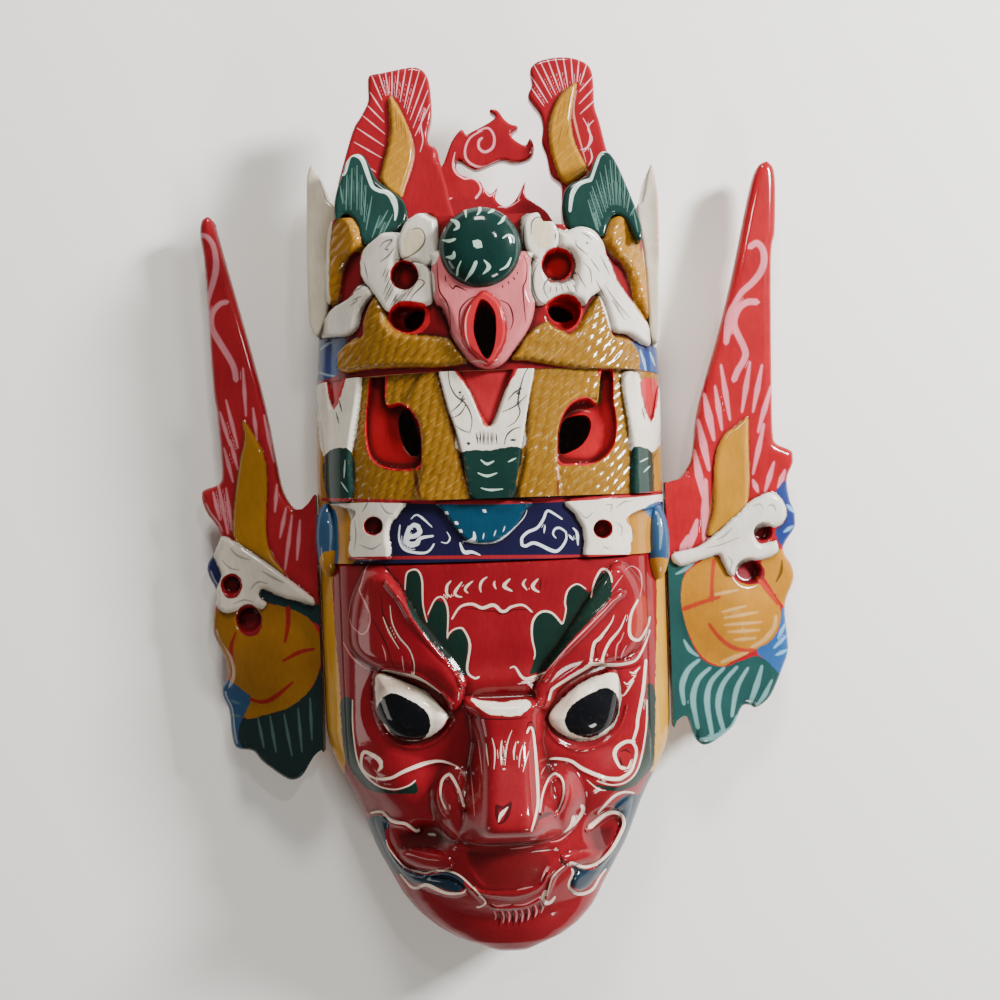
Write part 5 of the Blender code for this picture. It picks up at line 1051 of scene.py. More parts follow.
pitOutlines = {name: [area for where, area, level in recesses if where == name] for name in ("top", "band")}
everywhere = [[250,100, 500,0, 0,520, -500,0]]
bandCoats = {
    "sideGold": {"colour": "#A87325", "areas": [[336,505, 13,7, 2,13, -1,15, 2,24, -62,2, 0,-66], [624,520, 6,-7,
     10,-3, 8,3, 4,9, 1,13, -2,13, 9,18, -35,0, 6,-19, 1,-17]]},
    "cornerBlue": {"colour": "#2F5A86", "areas": [[323,509, 9,-1, 5,8, 1,19, -1,31, -15,0], [644,508, 11,-7, 7,3,
     6,11, 1,20, -1,31, -20,0, 3,-18, 4,-12, -3,-16]]},
    "discBlue": {"colour": "#123A50", "areas": formOutlines(bandForms, "halfDisc")},
    "knotCream": {"colour": "#D9D0C2", "areas": [[322,496, 80,2, -4,17, -6,7, -3,13, 0,22, -37,0, -2,-17, 1,-15,
     -2,-13, -11,-6, -16,-2], [570,498, 94,-6, 0,9, -9,1, -11,6, -11,5, -7,7, 6,10, -1,15, -6,12, -39,0, -2,-15,
     -2,-14, -7,-13]]},
    "edgeRed": {"colour": "#8E1F26", "lines": {(2.2, 2.4, 2.4): [[322,499, 165,3, 133,-6, 48,-5]], (1.6, 1.8, 1.8):
     [[350,558.5, 70,-1, 220,-1.5]]}},
    "pitRed": {"colour": "#C4202C", "grow": 0.6, "areas": pitOutlines["band"]},
    "whiteLine": {"colour": "#DCE4E8", "lines": {(2.2, 2.4, 1): [[418,527, 2,5, -5,4, -6,1, -3,4, 4,3, 6,-1, 5,-5,
     12,-2]], (2, 2.6, 2.4): [[409,528, -3,12, 5,5, 7,-2]], (1, 2.2, 2.2): [[409,528, 5,-3, 5,2]], (0.6, 1.5, 0.8):
     [[400,525, -1,13, 4,10, 9,4, 12,1, 6,-3, 4,-6]], 1.1: [[411,519, 7,-4, 14,12]], 0.8: [[441,542, 6,1, 3,-5,
     -3,-6], [463,541, 17,2.5, 20,-3.5, 22,-20, 5,-10]], (0.8, 2, 0.6): [[460,543, 4,9, 8,0, 8,3]], (0.8, 1.4, 1.4):
     [[562,519, -9,-6, -6,-2, -4,9, -6,8, -9,4, -6,6, 0,7]], (1.4, 1.7, 0.8): [[522,545, 4,1, 9,-3, 18,8, 7,-2, 6,-9,
     0,-8]], (0.8, 1.1, 0.5): [[566,532, -6,-4, -5,1, -2,5, 3,4]], 1.5: [[573,528, 4,5, 1,12]], 2: [[467,541, 7,-2,
     0,-7]]}, "ticks": {0.9: [545,525, -1,8], 1.2: [569,535, 4,5], 1.9: [445,512, 3,2, 455,522, 3,2, 459,530, 3,2,
     483,510, 3,2], 0.6: [484,533, -1,6, 496,530, -2,6, 505,526, -2,6]}},
    "greyLine": {"colour": "#8F8B86", "lines": {0.9: [[362,512, 5,-8, 2,-4], [380,503, 6,9, 8,2], [360,545, 12,4,
     10,-6]], 0.8: [[578,510, 8,8, 7,-6], [605,505, 7,0, -2,7], [616,508, 8,-6, 8,-1], [615,522, 7,5, -1,9]], 0.7:
     [[354,520, 2,15, -2,15]]}, "ticks": {0.8: [603,546, 6,3]}}}
tierCoats = {
    "tierGold": {"colour": "#825A16", "areas": everywhere, "lattice": 0.4},
    "sideGold": {"colour": "#9A6A1E", "areas": [[290,350, 32,0, -4,50, 4,52, 6,53, -38,0], [654,444, 14,-14, 42,0,
     0,75, -58,0, 2,-45]]},
    "pitRed": {"colour": "#B81D28", "areas": [[371,368, 17,-2, -2,37, 13,-1, 10,5, 8,11, 4,18, 1,26, -4,8, -18,1,
     -18,-3, -11,-8, -5,-14, -1,-26, 4,-40], [597,366, 16,2, 1,32, 3,20, -1,20, -7,14, -19,11, -15,0, -16,-1, -1,-24,
     2,-18, 6,-14, 10,-9, 12,-2, 12,7, 2,-20]]},
    "seamBrown": {"colour": "#5E2F14", "soft": 1, "lines": {(1.5, 2.2, 1): [[414,466, 4,24, 3,7]], (1, 1.2, 1):
     [[558,462, 0,18, 0,17], [434,364, 13,46, 24,89]], 1: [[353,452, 1,28, -1,19]]}},
    "tieCream": {"colour": "#DAD1C2", "areas": [[437,356, 16,0, 17,36, 17,36, 17,-35, 13,-37, 18,0, -6,44, -4,25,
     -4,24, -60,3, -6,-22, -10,-30], [306,376, 21,2, 6,29, 14,-35, 15,-1, -10,81, -28,4, -6,-36, -4,-20], [621,376,
     18,-2, 12,46, 8,-38, 13,6, -4,32, -12,30, -25,2, -3,-32]]},
    "tieRed": {"colour": "#A8242C", "areas": [[450,356, 69,0, -15,36, -16,35, -18,-35], [327,374, 20,-4, -13,40],
     [640,382, 19,1, -8,40]]},
    "tieGreen": {"colour": "#112C27", "areas": [[461,453, 29,-3, 31,-2, -4,30, -5,24, -39,0, -6,-24], [325,455, 27,-3,
     0,50, -24,0], [631,451, 17,-2, 5,11, -1,42, -20,0]]},
    "edgeRed": {"colour": "#8E1F26", "lines": {(1.6, 1.6, 1.6): [[322,499.5, 165,2.5, 133,-6, 48,-5]]}},
    "inkLine": {"colour": "#3B3430", "lines": {0.9: [[448,370, 2,15, 6,11, 8,6, 6,10, 2,10, -2,11], [531,365, -7,10,
     -6,25, 2,12, -5,10, -8,5], [504,445, 3,-10, 7,-6, 7,-2]], 0.8: [[451,412, 7,-6, 7,-8], [452,418, 8,-4, 6,-9],
     [508,400, 7,-8, 7,-4], [502,412, 13,-6, 12,-11]], 0.7: [[455,425, 7,5, 8,3]]}, "ticks": {1.8: [459,393, 2,-1], 2:
     [467,443.5, 3,0, 517,393.5, 3,-0.5], 0.8: [461,400, 3,-5, 476,433, 2,11, 480,431, 1,13, 484,431, 0,14, 488,432,
     0,13, 492,432, 0,13, 496,433, 1,11, 339,400, 3,12, 336,412, 3,12, 645,400, 1,12, 642,408, 3,12], 1.4: [510,440,
     6,0]}},
    "paleLine": {"colour": "#A9C5B5", "lines": {1.4: [[481,460, 6,4, 7,-3], [478,473, 9,3, 10,-3]], 1.2: [[481,488,
     9,2, 13,-1]]}, "ticks": {1: [508,462, 8,-4], 0.8: [345,460, -1,18, 341,482, 7,10, 640,462, 8,-4, 644,472,
     6,-6]}},
    "rimPink": {"colour": "#D98A80", "share": 0.8, "lines": {1: [[403,446, 5,7, 12,6]], 1.1: [[565,418, 7,-6, 9,-2,
     9,2]]}, "ticks": {0.8: [558,464, 0,16], 0.9: [378,371, 14,-2]}}}
topCoats = {
    "lowBlue": {"colour": "#163C70", "areas": [[300,342, 25,-6, 19,-1, 2,10, -5,11, -5,20, -36,4], [632,342, 18,-1,
     8,11, 6,18, 6,16, -27,-2, -5,-12, 0,-17]]},
    "sideCream": {"colour": "#C3B9A6", "areas": [[290,150, 44,0, -2,80, -1,70, -9,20, -6,20, -26,5], [641,150, 59,0,
     0,195, -48,0, -4,-25, -2,-40, -4,-40]]},
    "archGold": {"colour": "#9A6A1D", "lattice": 0.3, "areas": [[331,305, -2,-35, 2,-35, 5,-14, 7,-8, 7,-1, 7,8, 6,11,
     4,19, -7,8, -10,-1, -5,11, -3,17, -2,20], [601,238, 5,-15, 6,-9, 9,-1, 7,8, 13,29, 8,40, 3,40, -10,-12, -10,-14,
     -6,-23, -6,-15, -14,-17]]},
    "archRed": {"colour": "#7E151D", "areas": [[344,268, 6,-12, 8,-5, 5,11, -3,18, -7,14, -8,9, -7,1, 2,-14],
     [611,255, 9,7, 7,13, 4,15, 2,14, -9,-10, -8,-14, -5,-14]]},
    "bodyGold": {"colour": "#825A16", "lattice": 0.4, "areas": formOutlines(topForms, "goldLeft", "goldRight")},
    "beakPink": {"colour": "#C2656A", "areas": formOutlines(topForms, "beak")},
    "lipRed": {"colour": "#A81F28", "grow": 0.5, "areas": formOutlines(topForms, "lips")},
    "creature": {"colour": "#D8D0C4", "grow": 0.4, "areas": formOutlines(topForms, "earCurlLeft", "headLeft",
     "curlLeft", "tailLeft", "earCurlRight", "headRight", "curlRight", "tailRight")},
    "warmCream": {"colour": "#CFC2A4", "areas": [[404,240, 4,-10, 9,-3, 7,9, -1,11, -8,7, -12,5], [533,225, 7,-7, 8,4,
     5,12, -2,12, -10,2, -7,-8]]},
    "socketRed": {"colour": "#D0222E", "grow": 0.8, "areas": pitOutlines["top"] + [[390,315, 3,-9, 9,-4, 12,0, 10,3,
     5,9, -1,11, -8,7, -12,1, -12,-5], [546,306, 6,-7, 10,-4, 10,1, 7,6, 2,10, -3,10, -8,7, -12,-1, -8,-8]]},
    "inkLine": {"colour": "#4A433D", "share": 0.9, "lines": {0.9: [[395,260, 10,-2, 10,-5, 8,-8, 2,-8, -3,-7, -5,-2,
     -5,2], [410,300, 4,-6, 10,-10, -2,-4, -5,0], [531,235, 1,-13, 6,-5, 5,2]], 0.8: [[380,247, 4,-5, 8,-2, -8,10],
     [380,262, 8,-6, 7,-9], [576,240, 1,6, 11,9], [539,262, -5,10, -1,13, 4,13, 8,7]], 1: [[524,225, 0,20, 6,12,
     7,5]], 1.2: [[568,248, 6,10, 1,10, -4,9, -8,5, -8,-1, -5,-2, -5,4, -1,7, 4,8]], 0.7: [[581,232, 7,4, 4,4],
     [583,262, 7,8, 2,15], [605,285, 10,15, 15,18]]}, "ticks": {1.4: [386,250, 2,-1], 0.6: [390,268, -6,14, 395,285,
     -10,18, 400,290, -10,16, 405,291, -12,14, 410,288, -12,15, 415,285, -12,17, 386,268, -4,10, 391,276, -8,19,
     395,278, -11,22, 353,292, 12,-7, 352,300, 10,-4, 364,262, 4,18, 350,306, 8,-6], 0.8: [556,230, -1,10], 1.5:
     [586,243, 2,0], 0.7: [590,258, 10,14, 600,255, 10,20, 551,286, -1,7, 556,285, 1,8, 561,284, 2,8, 566,284, 4,8,
     571,280, 6,12, 577,272, 9,16, 596,280, 8,16, 612,300, 13,20]}},
    "beakLine": {"colour": "#4A1519", "lines": {0.8: [[437,262, 1,18, 2,12, 7,11, 3,15, 0,12], [523,255, 4,10, -1,15,
     -3,10, 3,33]], 0.9: [[449,284, 4,5, 3,-3, 11,5], [460,330, -1,-12, 2,-10, 7,-8, 8,-4], [500,300, 8,4, 4,8, 1,10,
     -3,8]]}, "ticks": {0.7: [445,275, 1,7], 0.8: [502,285, 1,3, 508,281, 1,3, 513,277, 2,3, 517,272, 1,2]}},
    "lipPink": {"colour": "#E39A98", "share": 0.8, "lines": {0.9: [[471,305, -5,13, 0,17, 4,13]], 1.2: [[470,362,
     9,-1, 8,3]], 0.8: [[436,220, -6,-3, -6,-3]]}},
    "blueLight": {"colour": "#8FA9BC", "share": 0.8, "lines": {1.6: [[320,350, 6,-5, 6,-3], [640,350, 4,12, 2,10]],
     1.2: [[318,372, 9,3, 8,1]]}, "ticks": {1.2: [650,352, 5,14]}}}


for name, stretchName, forms, coats, finish, ground in (
        ("headBand", "band", bandForms, bandCoats, "navy_lacquered_wood_band", "#171534"),
        ("scaledTier", "tier", tierForms, tierCoats, "gold_lacquered_wood_tier", "#8E1F26"),
        ("topTier", "top", topForms, topCoats, "red_lacquered_wood_crown", "#7E151D")):
    crownStretch(name, stretchName, forms, lacqueredPaint(finish, ground, coats), coats)


# Thin carved plates, for the crown's free tips and the ears: rounds of closing corner gaps and of evening out
# the grid, how far a border point may move in grid steps, and the marks as for the log
plate = {"closing": 8, "evening": 4, "reach": 0.95, "blur": 2, "grimeAndShade": 0.8, "grimeAndShadeShare": 0.7, "rub": 0.4,
         "marksFrom": (0.5, 2.5)}


def trimmedPlate(name, outline, spacing, top, bottom, materials):
    # A board cut out of a square grid: the border points are moved onto the outline, the points near it are
    # evened out, and top(x, y, inside) and bottom(x, y, inside) give the two faces' heights
    low, high = outline.min(0) - 1.5 * spacing, outline.max(0) + 1.5 * spacing
    x, y = np.meshgrid(np.arange(low[0], high[0] + spacing, spacing), np.arange(low[1], high[1] + spacing, spacing))
    centre = insideDistance(x[:-1, :-1] + spacing / 2, y[:-1, :-1] + spacing / 2, outline)
    kept = centre > 0.0
    for turn in range(plate["closing"]):
        a, b, c, d = kept[:-1, :-1], kept[:-1, 1:], kept[1:, :-1], kept[1:, 1:]
        b |= a & d & ~b & ~c
        a |= b & c & ~a & ~d
    used = np.zeros(x.shape, int)
    for rowShift in (0, 1):
        for columnShift in (0, 1):
            used[rowShift:rowShift + kept.shape[0], columnShift:columnShift + kept.shape[1]] += kept
    edgePoint = (used > 0) & (used < 4)
    fromX, fromY = x[edgePoint], y[edgePoint]
    best, bestX, bestY = np.full(fromX.shape, 1e9), fromX.copy(), fromY.copy()
    for (ax, ay), (bx, by) in zip(outline, np.roll(outline, -1, axis=0)):
        length = (bx - ax) ** 2 + (by - ay) ** 2
        if length == 0:
            continue
        share = np.clip(((fromX - ax) * (bx - ax) + (fromY - ay) * (by - ay)) / length, 0.0, 1.0)
        nearX, nearY = ax + share * (bx - ax), ay + share * (by - ay)
        away = np.hypot(fromX - nearX, fromY - nearY)
        closer = away < best
        best, bestX, bestY = [np.where(closer, new, old)
                              for new, old in ((away, best), (nearX, bestX), (nearY, bestY))]
    reach = np.minimum(1.0, plate["reach"] * spacing / np.maximum(best, 1e-6))
    x[edgePoint], y[edgePoint] = fromX + (bestX - fromX) * reach, fromY + (bestY - fromY) * reach
    for turn in range(plate["evening"]):
        for grid in (x, y):
            even = grid.copy()
            even[1:-1, 1:-1] = (grid[:-2, 1:-1] + grid[2:, 1:-1] + grid[1:-1, :-2] + grid[1:-1, 2:]) / 4
            grid[:] = np.where(used == 4, even, grid)
    filled = used > 0
    number = np.full(x.shape, -1)
    number[filled] = np.arange(np.count_nonzero(filled))
    px, py = x[filled], y[filled]
    inside = np.where(edgePoint[filled], 0.0, insideDistance(px, py, outline))
    count = len(px)
    grids = [number[:-1, :-1], number[:-1, 1:], number[1:, 1:], number[1:, :-1]]
    upper = np.stack([grid[kept] for grid in grids], axis=1)
    wide = np.pad(kept, 1)
    walls = []
    for rowShift, columnShift, first, second in ((-1, 0, 0, 1), (0, 1, 1, 2), (1, 0, 2, 3), (0, -1, 3, 0)):
        beside = wide[1 + rowShift:1 + rowShift + kept.shape[0], 1 + columnShift:1 + columnShift + kept.shape[1]]
        i, j = grids[first][kept & ~beside], grids[second][kept & ~beside]
        walls.append(np.stack([i, i + count, j + count, j], axis=1))
    zTop, zBottom = top(px, py, inside), bottom(px, py, inside)
    points = np.concatenate([np.stack([px, py, zTop], axis=1), np.stack([px, py, zBottom], axis=1)])
    piece = makePiece(name, points, [upper, upper[:, ::-1] + count, np.concatenate(walls)], materials)
    # Dirt with painted shade where the face lies below its surroundings, rubbing where it stands above
    height = np.zeros(x.shape)
    height[filled] = zTop
    around = blurred(height, plate["blur"]) / np.maximum(blurred(filled.astype(float), plate["blur"]), 1e-3)
    lift = (height - around)[filled] * smooth(*plate["marksFrom"], inside)
    for field, values in (("grimeAndShade", np.clip(-lift / plate["grimeAndShade"], 0, 1) * plate["grimeAndShadeShare"]),
                          ("edge", np.clip(lift / plate["rub"], 0, 1))):
        addField(piece, field, np.concatenate([values, np.zeros(count)]))
    return piece


def rounded(inside, radius, drop):
    # How much a board's face drops towards its edge, along a quarter round
    share = np.clip(inside / radius, 0.0, 1.0)
    return drop * (1.0 - np.sqrt(1.0 - (1.0 - share) ** 2))


# The tips' outlines are read this far under their upper face, the slope starts this far before the log's end,
# and the lower edge is less rounded; a leaf is a form that stands off its wing
tipLook = {"outlineBelow": 3.0, "slopeFrom": -12.0, "lowRound": 0.7, "leafAt": 2.0, "sheetUnit": 0.5,
           "leafHeight": 2.5, "leafEdge": 2.0}


def makeTip(name, paint):
    # A board between two sloping planes with rounded edges, and the raised leaf on a wing
    values = tips[name]
    level = values["height"] - tipLook["outlineBelow"]
    outline = fromSheet(drawn(values["outline"]), lambda x, y: np.full(np.shape(x), level))
    spacing, edgeRadius, edgeDrop = values["edge"]

    def top(x, y, inside):
        z = values["height"] - values["drop"] * np.maximum(y - log["endY"], tipLook["slopeFrom"])
        z = z - rounded(inside, edgeRadius, edgeDrop)
        if name not in leaves:
            return z
        across, along = toSheet(x, y, z + tipLook["leafAt"])
        leaf = insideDistance(across, along, drawn(leaves[name])) * tipLook["sheetUnit"]
        return z + puff(leaf, tipLook["leafHeight"], tipLook["leafEdge"])

    def bottom(x, y, inside):
        z = values["low"] - values["lowDrop"] * np.maximum(y - log["endY"], tipLook["slopeFrom"])
        return z + rounded(inside, edgeRadius, edgeDrop * tipLook["lowRound"])

    return trimmedPlate(name, outline, spacing, top, bottom, [paint])


wingCoats = {
    "leafGold": {"colour": "#A67421", "lattice": 0.4, "grow": 0.3, "areas": [leaves["leftWing"],
     leaves["rightWing"]]},
    "sunsetPink": {"colour": "#D98A78", "share": 0.8, "lines": {1.2: [[410,132, 4,18, -3,18, -10,29], [577,90, -3,15,
     1,17, 11,40]]}},
    "featherPink": {"colour": "#E9A0A8", "lines": {0.8: [[425,108, -4,17, 2,15, -3,12], [583,118, 7,14, -2,14, -8,4]],
     0.9: [[594,120, -6,8, 4,12, -8,12], [590,148, 2,10, -4,8]]}, "ticks": {0.75: [371,74, 11,26, 378,71, 8,25,
     385,70, 4,25, 392,69, 0,27, 399,67, -3,31, 406,66, -6,36, 413,66, -9,42, 420,68, -13,46, 426,76, -16,44, 370,92,
     13,20, 366,104, 18,18, 362,115, 23,19, 357,128, 27,18, 354,142, 28,16, 352,156, 24,16, 428,90, -15,38, 430,104,
     -15,32, 534,65, 18,33, 540,61, 16,34, 547,58, 13,34, 555,57, 9,33, 563,56, 5,32, 571,57, 2,27, 579,59, -2,23,
     587,63, -7,22, 593,76, -14,16, 594,88, -15,16, 595,100, -15,14, 531,76, 17,27, 530,86, 14,20]}},
    "leafDark": {"colour": "#7A4A16", "share": 0.7, "ticks": {0.7: [390,112, 2,18, 395,108, 2,24, 400,114, 2,20,
     404,122, 2,16, 566,96, -4,22, 571,92, -4,20, 561,104, -5,22, 571,118, -5,20, 562,126, -4,18]}}}
fanCoats = {
    "deepGreen": {"colour": "#0F2925", "areas": [[345,152, 12,-5, 8,3, 8,14, 8,14, 21,16, 8,12, 2,14, -8,14, -9,4,
     2,-16, 2,-14, -6,-11, -9,-5, -10,-2, -8,-12, -4,-13, -5,-7, -7,0], [598,146, 9,-1, -3,9, -6,8, -4,12, -4,8, -8,2,
     -6,6, -4,10, -1,12, -3,14, -10,-4, 0,-32, 10,-10, 12,-5, 8,-9]]},
    "fanRays": {"colour": "#5F8078", "share": 0.75, "ticks": {0.8: [340,185, 3,19, 347,175, -1,35, 352,168, -1,42,
     357,165, 0,45, 362,175, -1,40, 366,185, -2,37, 372,196, -6,34, 380,215, -8,23, 388,210, -10,18, 385,222, -8,18,
     393,214, -10,20, 605,165, 6,40, 610,160, 4,45, 615,160, 2,45, 620,170, 0,36, 625,180, -1,28, 630,192, -3,20,
     636,205, -6,11, 600,172, 8,36, 596,180, 10,32, 592,186, 11,32, 590,192, 11,34, 588,200, 9,30, 594,212, 5,20,
     634,212, 4,20]}},
    "fanEdge": {"colour": "#BFD2C6", "lines": {(1, 2.2, 1.8): [[341,175, 4,-2, 4,-15, 4,-3, 5,1, 5,5, 6,17, 4,9,
     7,4]], (1.8, 3, 0.8): [[380,191, 6,1, 5,4, 4,8, 1,9, -1,7]], (1, 1.6, 1.4): [[608,151, -7,2, -4,9, -6,18]], (1.6,
     2.4, 1.4): [[591,180, -8,2, -6,4, -5,9, -2,16]]}}}
crestCoats = {
    # crestFootShadow is painted shadow at the crest's foot, behind the boss
    "crestFootShadow": {"colour": "#7C1720", "soft": 3, "share": 0.7, "areas": [[436,194, 14,5, 20,-1, 12,-6, 18,14, 20,-4,
     20,6, 16,14, 10,28, -130,0]]},
    "flamePink": {"colour": "#E58F98", "lines": {(0.4, 1.2, 1.3): [[425,130, -2,15, -2,12]], (1.2, 1, 1.2): [[433,149,
     -2,11, -1,11]], (0.4, 1.2, 1): [[455,152, -2,13, 4,9, 8,5]], (1, 0.8, 1.4): [[465,179, 7,-1, 6,4, 3,8, -5,8]],
     (0.8, 1.5, 1.3): [[481,131, -11,7, -5,12, 2,10, 8,6, 10,1, 15,-6, 20,2, 12,-6, 1,-9]], (0.8, 1.4, 1.3):
     [[478,131, 10,-3, 6,8, -1,11, -8,5, -6,-4, 0,-7, 3,-3]], (1.8, 1.8, 0.6): [[435,190, 2,6, 6,4, 9,-2]], 0.9:
     [[525,183, 1,14, 9,5]], 1: [[484,190, 6,6, 6,-4]], 0.8: [[498,207, 12,-1, 10,-6], [458,160, 12,10, 12,2]]},
     "ticks": {0.9: [540,184, 7,-7, 518,200, 5,-16]}}}
finCoats = {
    # finShade is painted shade on part of each fin beside the log
    "finShade": {"colour": "#8A7A66", "soft": 6, "share": 0.6, "areas": [[326,198, 10,4, 2,54, -18,0], [652,196, 12,4,
     0,56, -10,0]]},
    "finPink": {"colour": "#C58A84", "soft": 1, "share": 0.7, "lines": {(0.6, 1, 1.4): [[654,172, 3,33, 0,35]]}}}


for names, finish, ground, coats in (
        (("leftWing", "rightWing"), "red_lacquered_wood_wings", "#8C151F", wingCoats),
        (("leftFan", "rightFan"), "green_lacquered_wood_fans", "#15342F", fanCoats),
        (("crest",), "red_lacquered_wood_crest", "#8C151F", crestCoats),
        (("leftFin", "rightFin"), "cream_lacquered_wood_fins", "#C6BBA8", finCoats)):
    paint = lacqueredPaint(finish, ground, coats)
    for name in names:
        piece = makeTip(name, paint)
        paintFields(piece, coats, len(piece.data.vertices) // 2)
        ready(piece, "mask_body")

# The ears: carved boards that lean back beside the log
earLook = {"spacing": 0.62, "front": 36.0, "lean": 0.2, "leanFrom": 90.0, "thickness": 11.0, "edgeRadius": 5.0,
           "edgeDrop": 3.0, "seatBand": 12.0, "backRadius": 3.0, "backDrop": 2.0, "boxGap": 0.05, "drawnAt": 2.0,
           "sheetUnit": 0.52, "cloud": (3.5, 3.0), "feather": (2.5, 3.0), "pitDepth": 6.0, "pitWall": (1.15, 0.75)}
ears = {
    "leftEar": {"side": -1, "seat": -92, "node": "left_ear_wing", "slot": "left_ear_lacquer", "outline": [205,216,
     4,1, 4,6, 3,13, 42,149, 16,75, 7,31, 11,17, 10,1, 28,-1, 0,242, -8,0, -6,4, -6,8, -8,14, -9,5, -10,-3, -21,-15,
     -10,-11, -16,-3, -5,-12, -3,-26, -5,-11, -2,-10, 4,-9, 2,-10, -3,-13, -11,-23, 0,-23, 3,-14, -2,-10, -5,-9,
     -3,-10, 2,-8, 5,-7, 6,-13, -1,-9, -4,-8, -7,-9, -5,-10, -2,-9, 3,-6, 15,-6, 3,-10, -1,-19, -4,-43, -4,-27,
     -8,-115, -5,-35, 1,-14], "ball": ((-123, -77), (27, 27), 5), "pits": [((231, 585), 9), ((248, 620), 12)],
     "cloud": [219,538, 7,-1, 10,5, 30,20, 32,24, 15,12, 1,8, -14,-4, -16,-4, -14,-6, -8,-3, -3,7, 7,7, -4,6, -12,-2,
     -12,4, -14,2, -8,-9, 0,-14, 5,-14, -5,-14, -3,-12], "feather": [243,420, 15,22, 6,14, 3,24, -1,45, 2,20, 7,15,
     11,16, -26,-18, -14,-9, -12,-8, -1,-26, 6,-50, 5,-25]},
    "rightEar": {"side": 1, "seat": 89.6, "node": "right_ear_wing", "slot": "right_ear_lacquer", "outline": [770,161,
     -6,0, -6,6, -7,23, -16,80, -13,55, -14,50, -10,40, -4,40, -7,16, -8,8, -11,4, -13,17, 0,216, 28,0, 6,3, 6,17,
     4,7, 7,3, 11,-5, 17,-14, 7,-16, 4,-5, 6,0, 7,2, 14,-12, 13,-31, 4,-13, 0,-12, -3,-34, 7,-21, 2,-10, -3,-11,
     -6,-9, -1,-10, 10,-16, 2,-10, -2,-10, -4,-9, -3,-21, 6,-16, 0,-10, -4,-4, -13,-6, -3,-10, -1,-33, -1,-120, 1,-35,
     3,-17, 0,-53], "ball": ((121, -63), (27, 27), 5), "pits": [((763, 532), 9), ((748, 572), 13)], "cloud": [672,560,
     2,-7, 16,-4, 14,-6, 36,-31, 8,-9, 12,-7, 10,-4, 10,5, 6,11, -1,12, -8,7, -10,0, -9,3, -2,8, 6,6, 14,-3, 2,9,
     -6,6, -12,4, -12,1, -8,5, -6,9, -6,-1, -6,-12, -4,-7, -10,3, -13,4, -15,4], "feather": [748,418, -6,3, -7,6,
     -7,4, -6,7, -5,12, -3,20, 0,25, -2,20, -5,18, 5,3, 10,-8, 13,-10, 11,-10, 3,-13, 1,-25, -1,-25]}}


def earFront(x, y):
    # The board's plane, which leans back with the distance from the log
    return earLook["front"] - earLook["lean"] * (np.abs(x) - earLook["leanFrom"])


def makeEar(name, paint):
    # The board's plane with rounded edges, a raised cloud, a feather and a ball, and pits sunk into it
    values = ears[name]
    side, seat = values["side"], values["seat"]
    outline = fromSheet(drawn(values["outline"]), earFront)
    outline[:, 0] = np.where(side * (outline[:, 0] - seat) > 0, outline[:, 0], seat)
    low, high = np.array(cadBox) * 1000.0 - (sheet["shiftX"], sheet["shiftY"], 0.0)
    outline[:, 0] = np.clip(outline[:, 0], low[0] + earLook["boxGap"], high[0] - earLook["boxGap"])
    repeated = np.all(np.abs(outline - np.roll(outline, 1, axis=0)) < 1e-6, axis=1)
    outline = outline[~repeated]

    def top(x, y, inside):
        inner = side * (x - seat)
        nearLog = earLook["edgeRadius"] * (1.0 - inner / earLook["seatBand"] / 2.0)
        inside = np.where(inner < earLook["seatBand"], np.maximum(inside, nearLog), inside)
        z = earFront(x, y) - rounded(inside, earLook["edgeRadius"], earLook["edgeDrop"])
        across, along = toSheet(x, y, earFront(x, y) + earLook["drawnAt"])
        for form in ("cloud", "feather"):
            z = z + puff(insideDistance(across, along, drawn(values[form])) * earLook["sheetUnit"], *earLook[form])
        z = z + dome(x, y, *values["ball"])
        for middle, radius in values["pits"]:
            away = np.hypot(across - middle[0], along - middle[1])
            z = z - earLook["pitDepth"] * smooth(*[radius * part for part in earLook["pitWall"]], away)
        return z

    def bottom(x, y, inside):
        return earFront(x, y) - earLook["thickness"] + rounded(inside, earLook["backRadius"], earLook["backDrop"])

    return trimmedPlate(name, outline, earLook["spacing"], top, bottom, [paint])


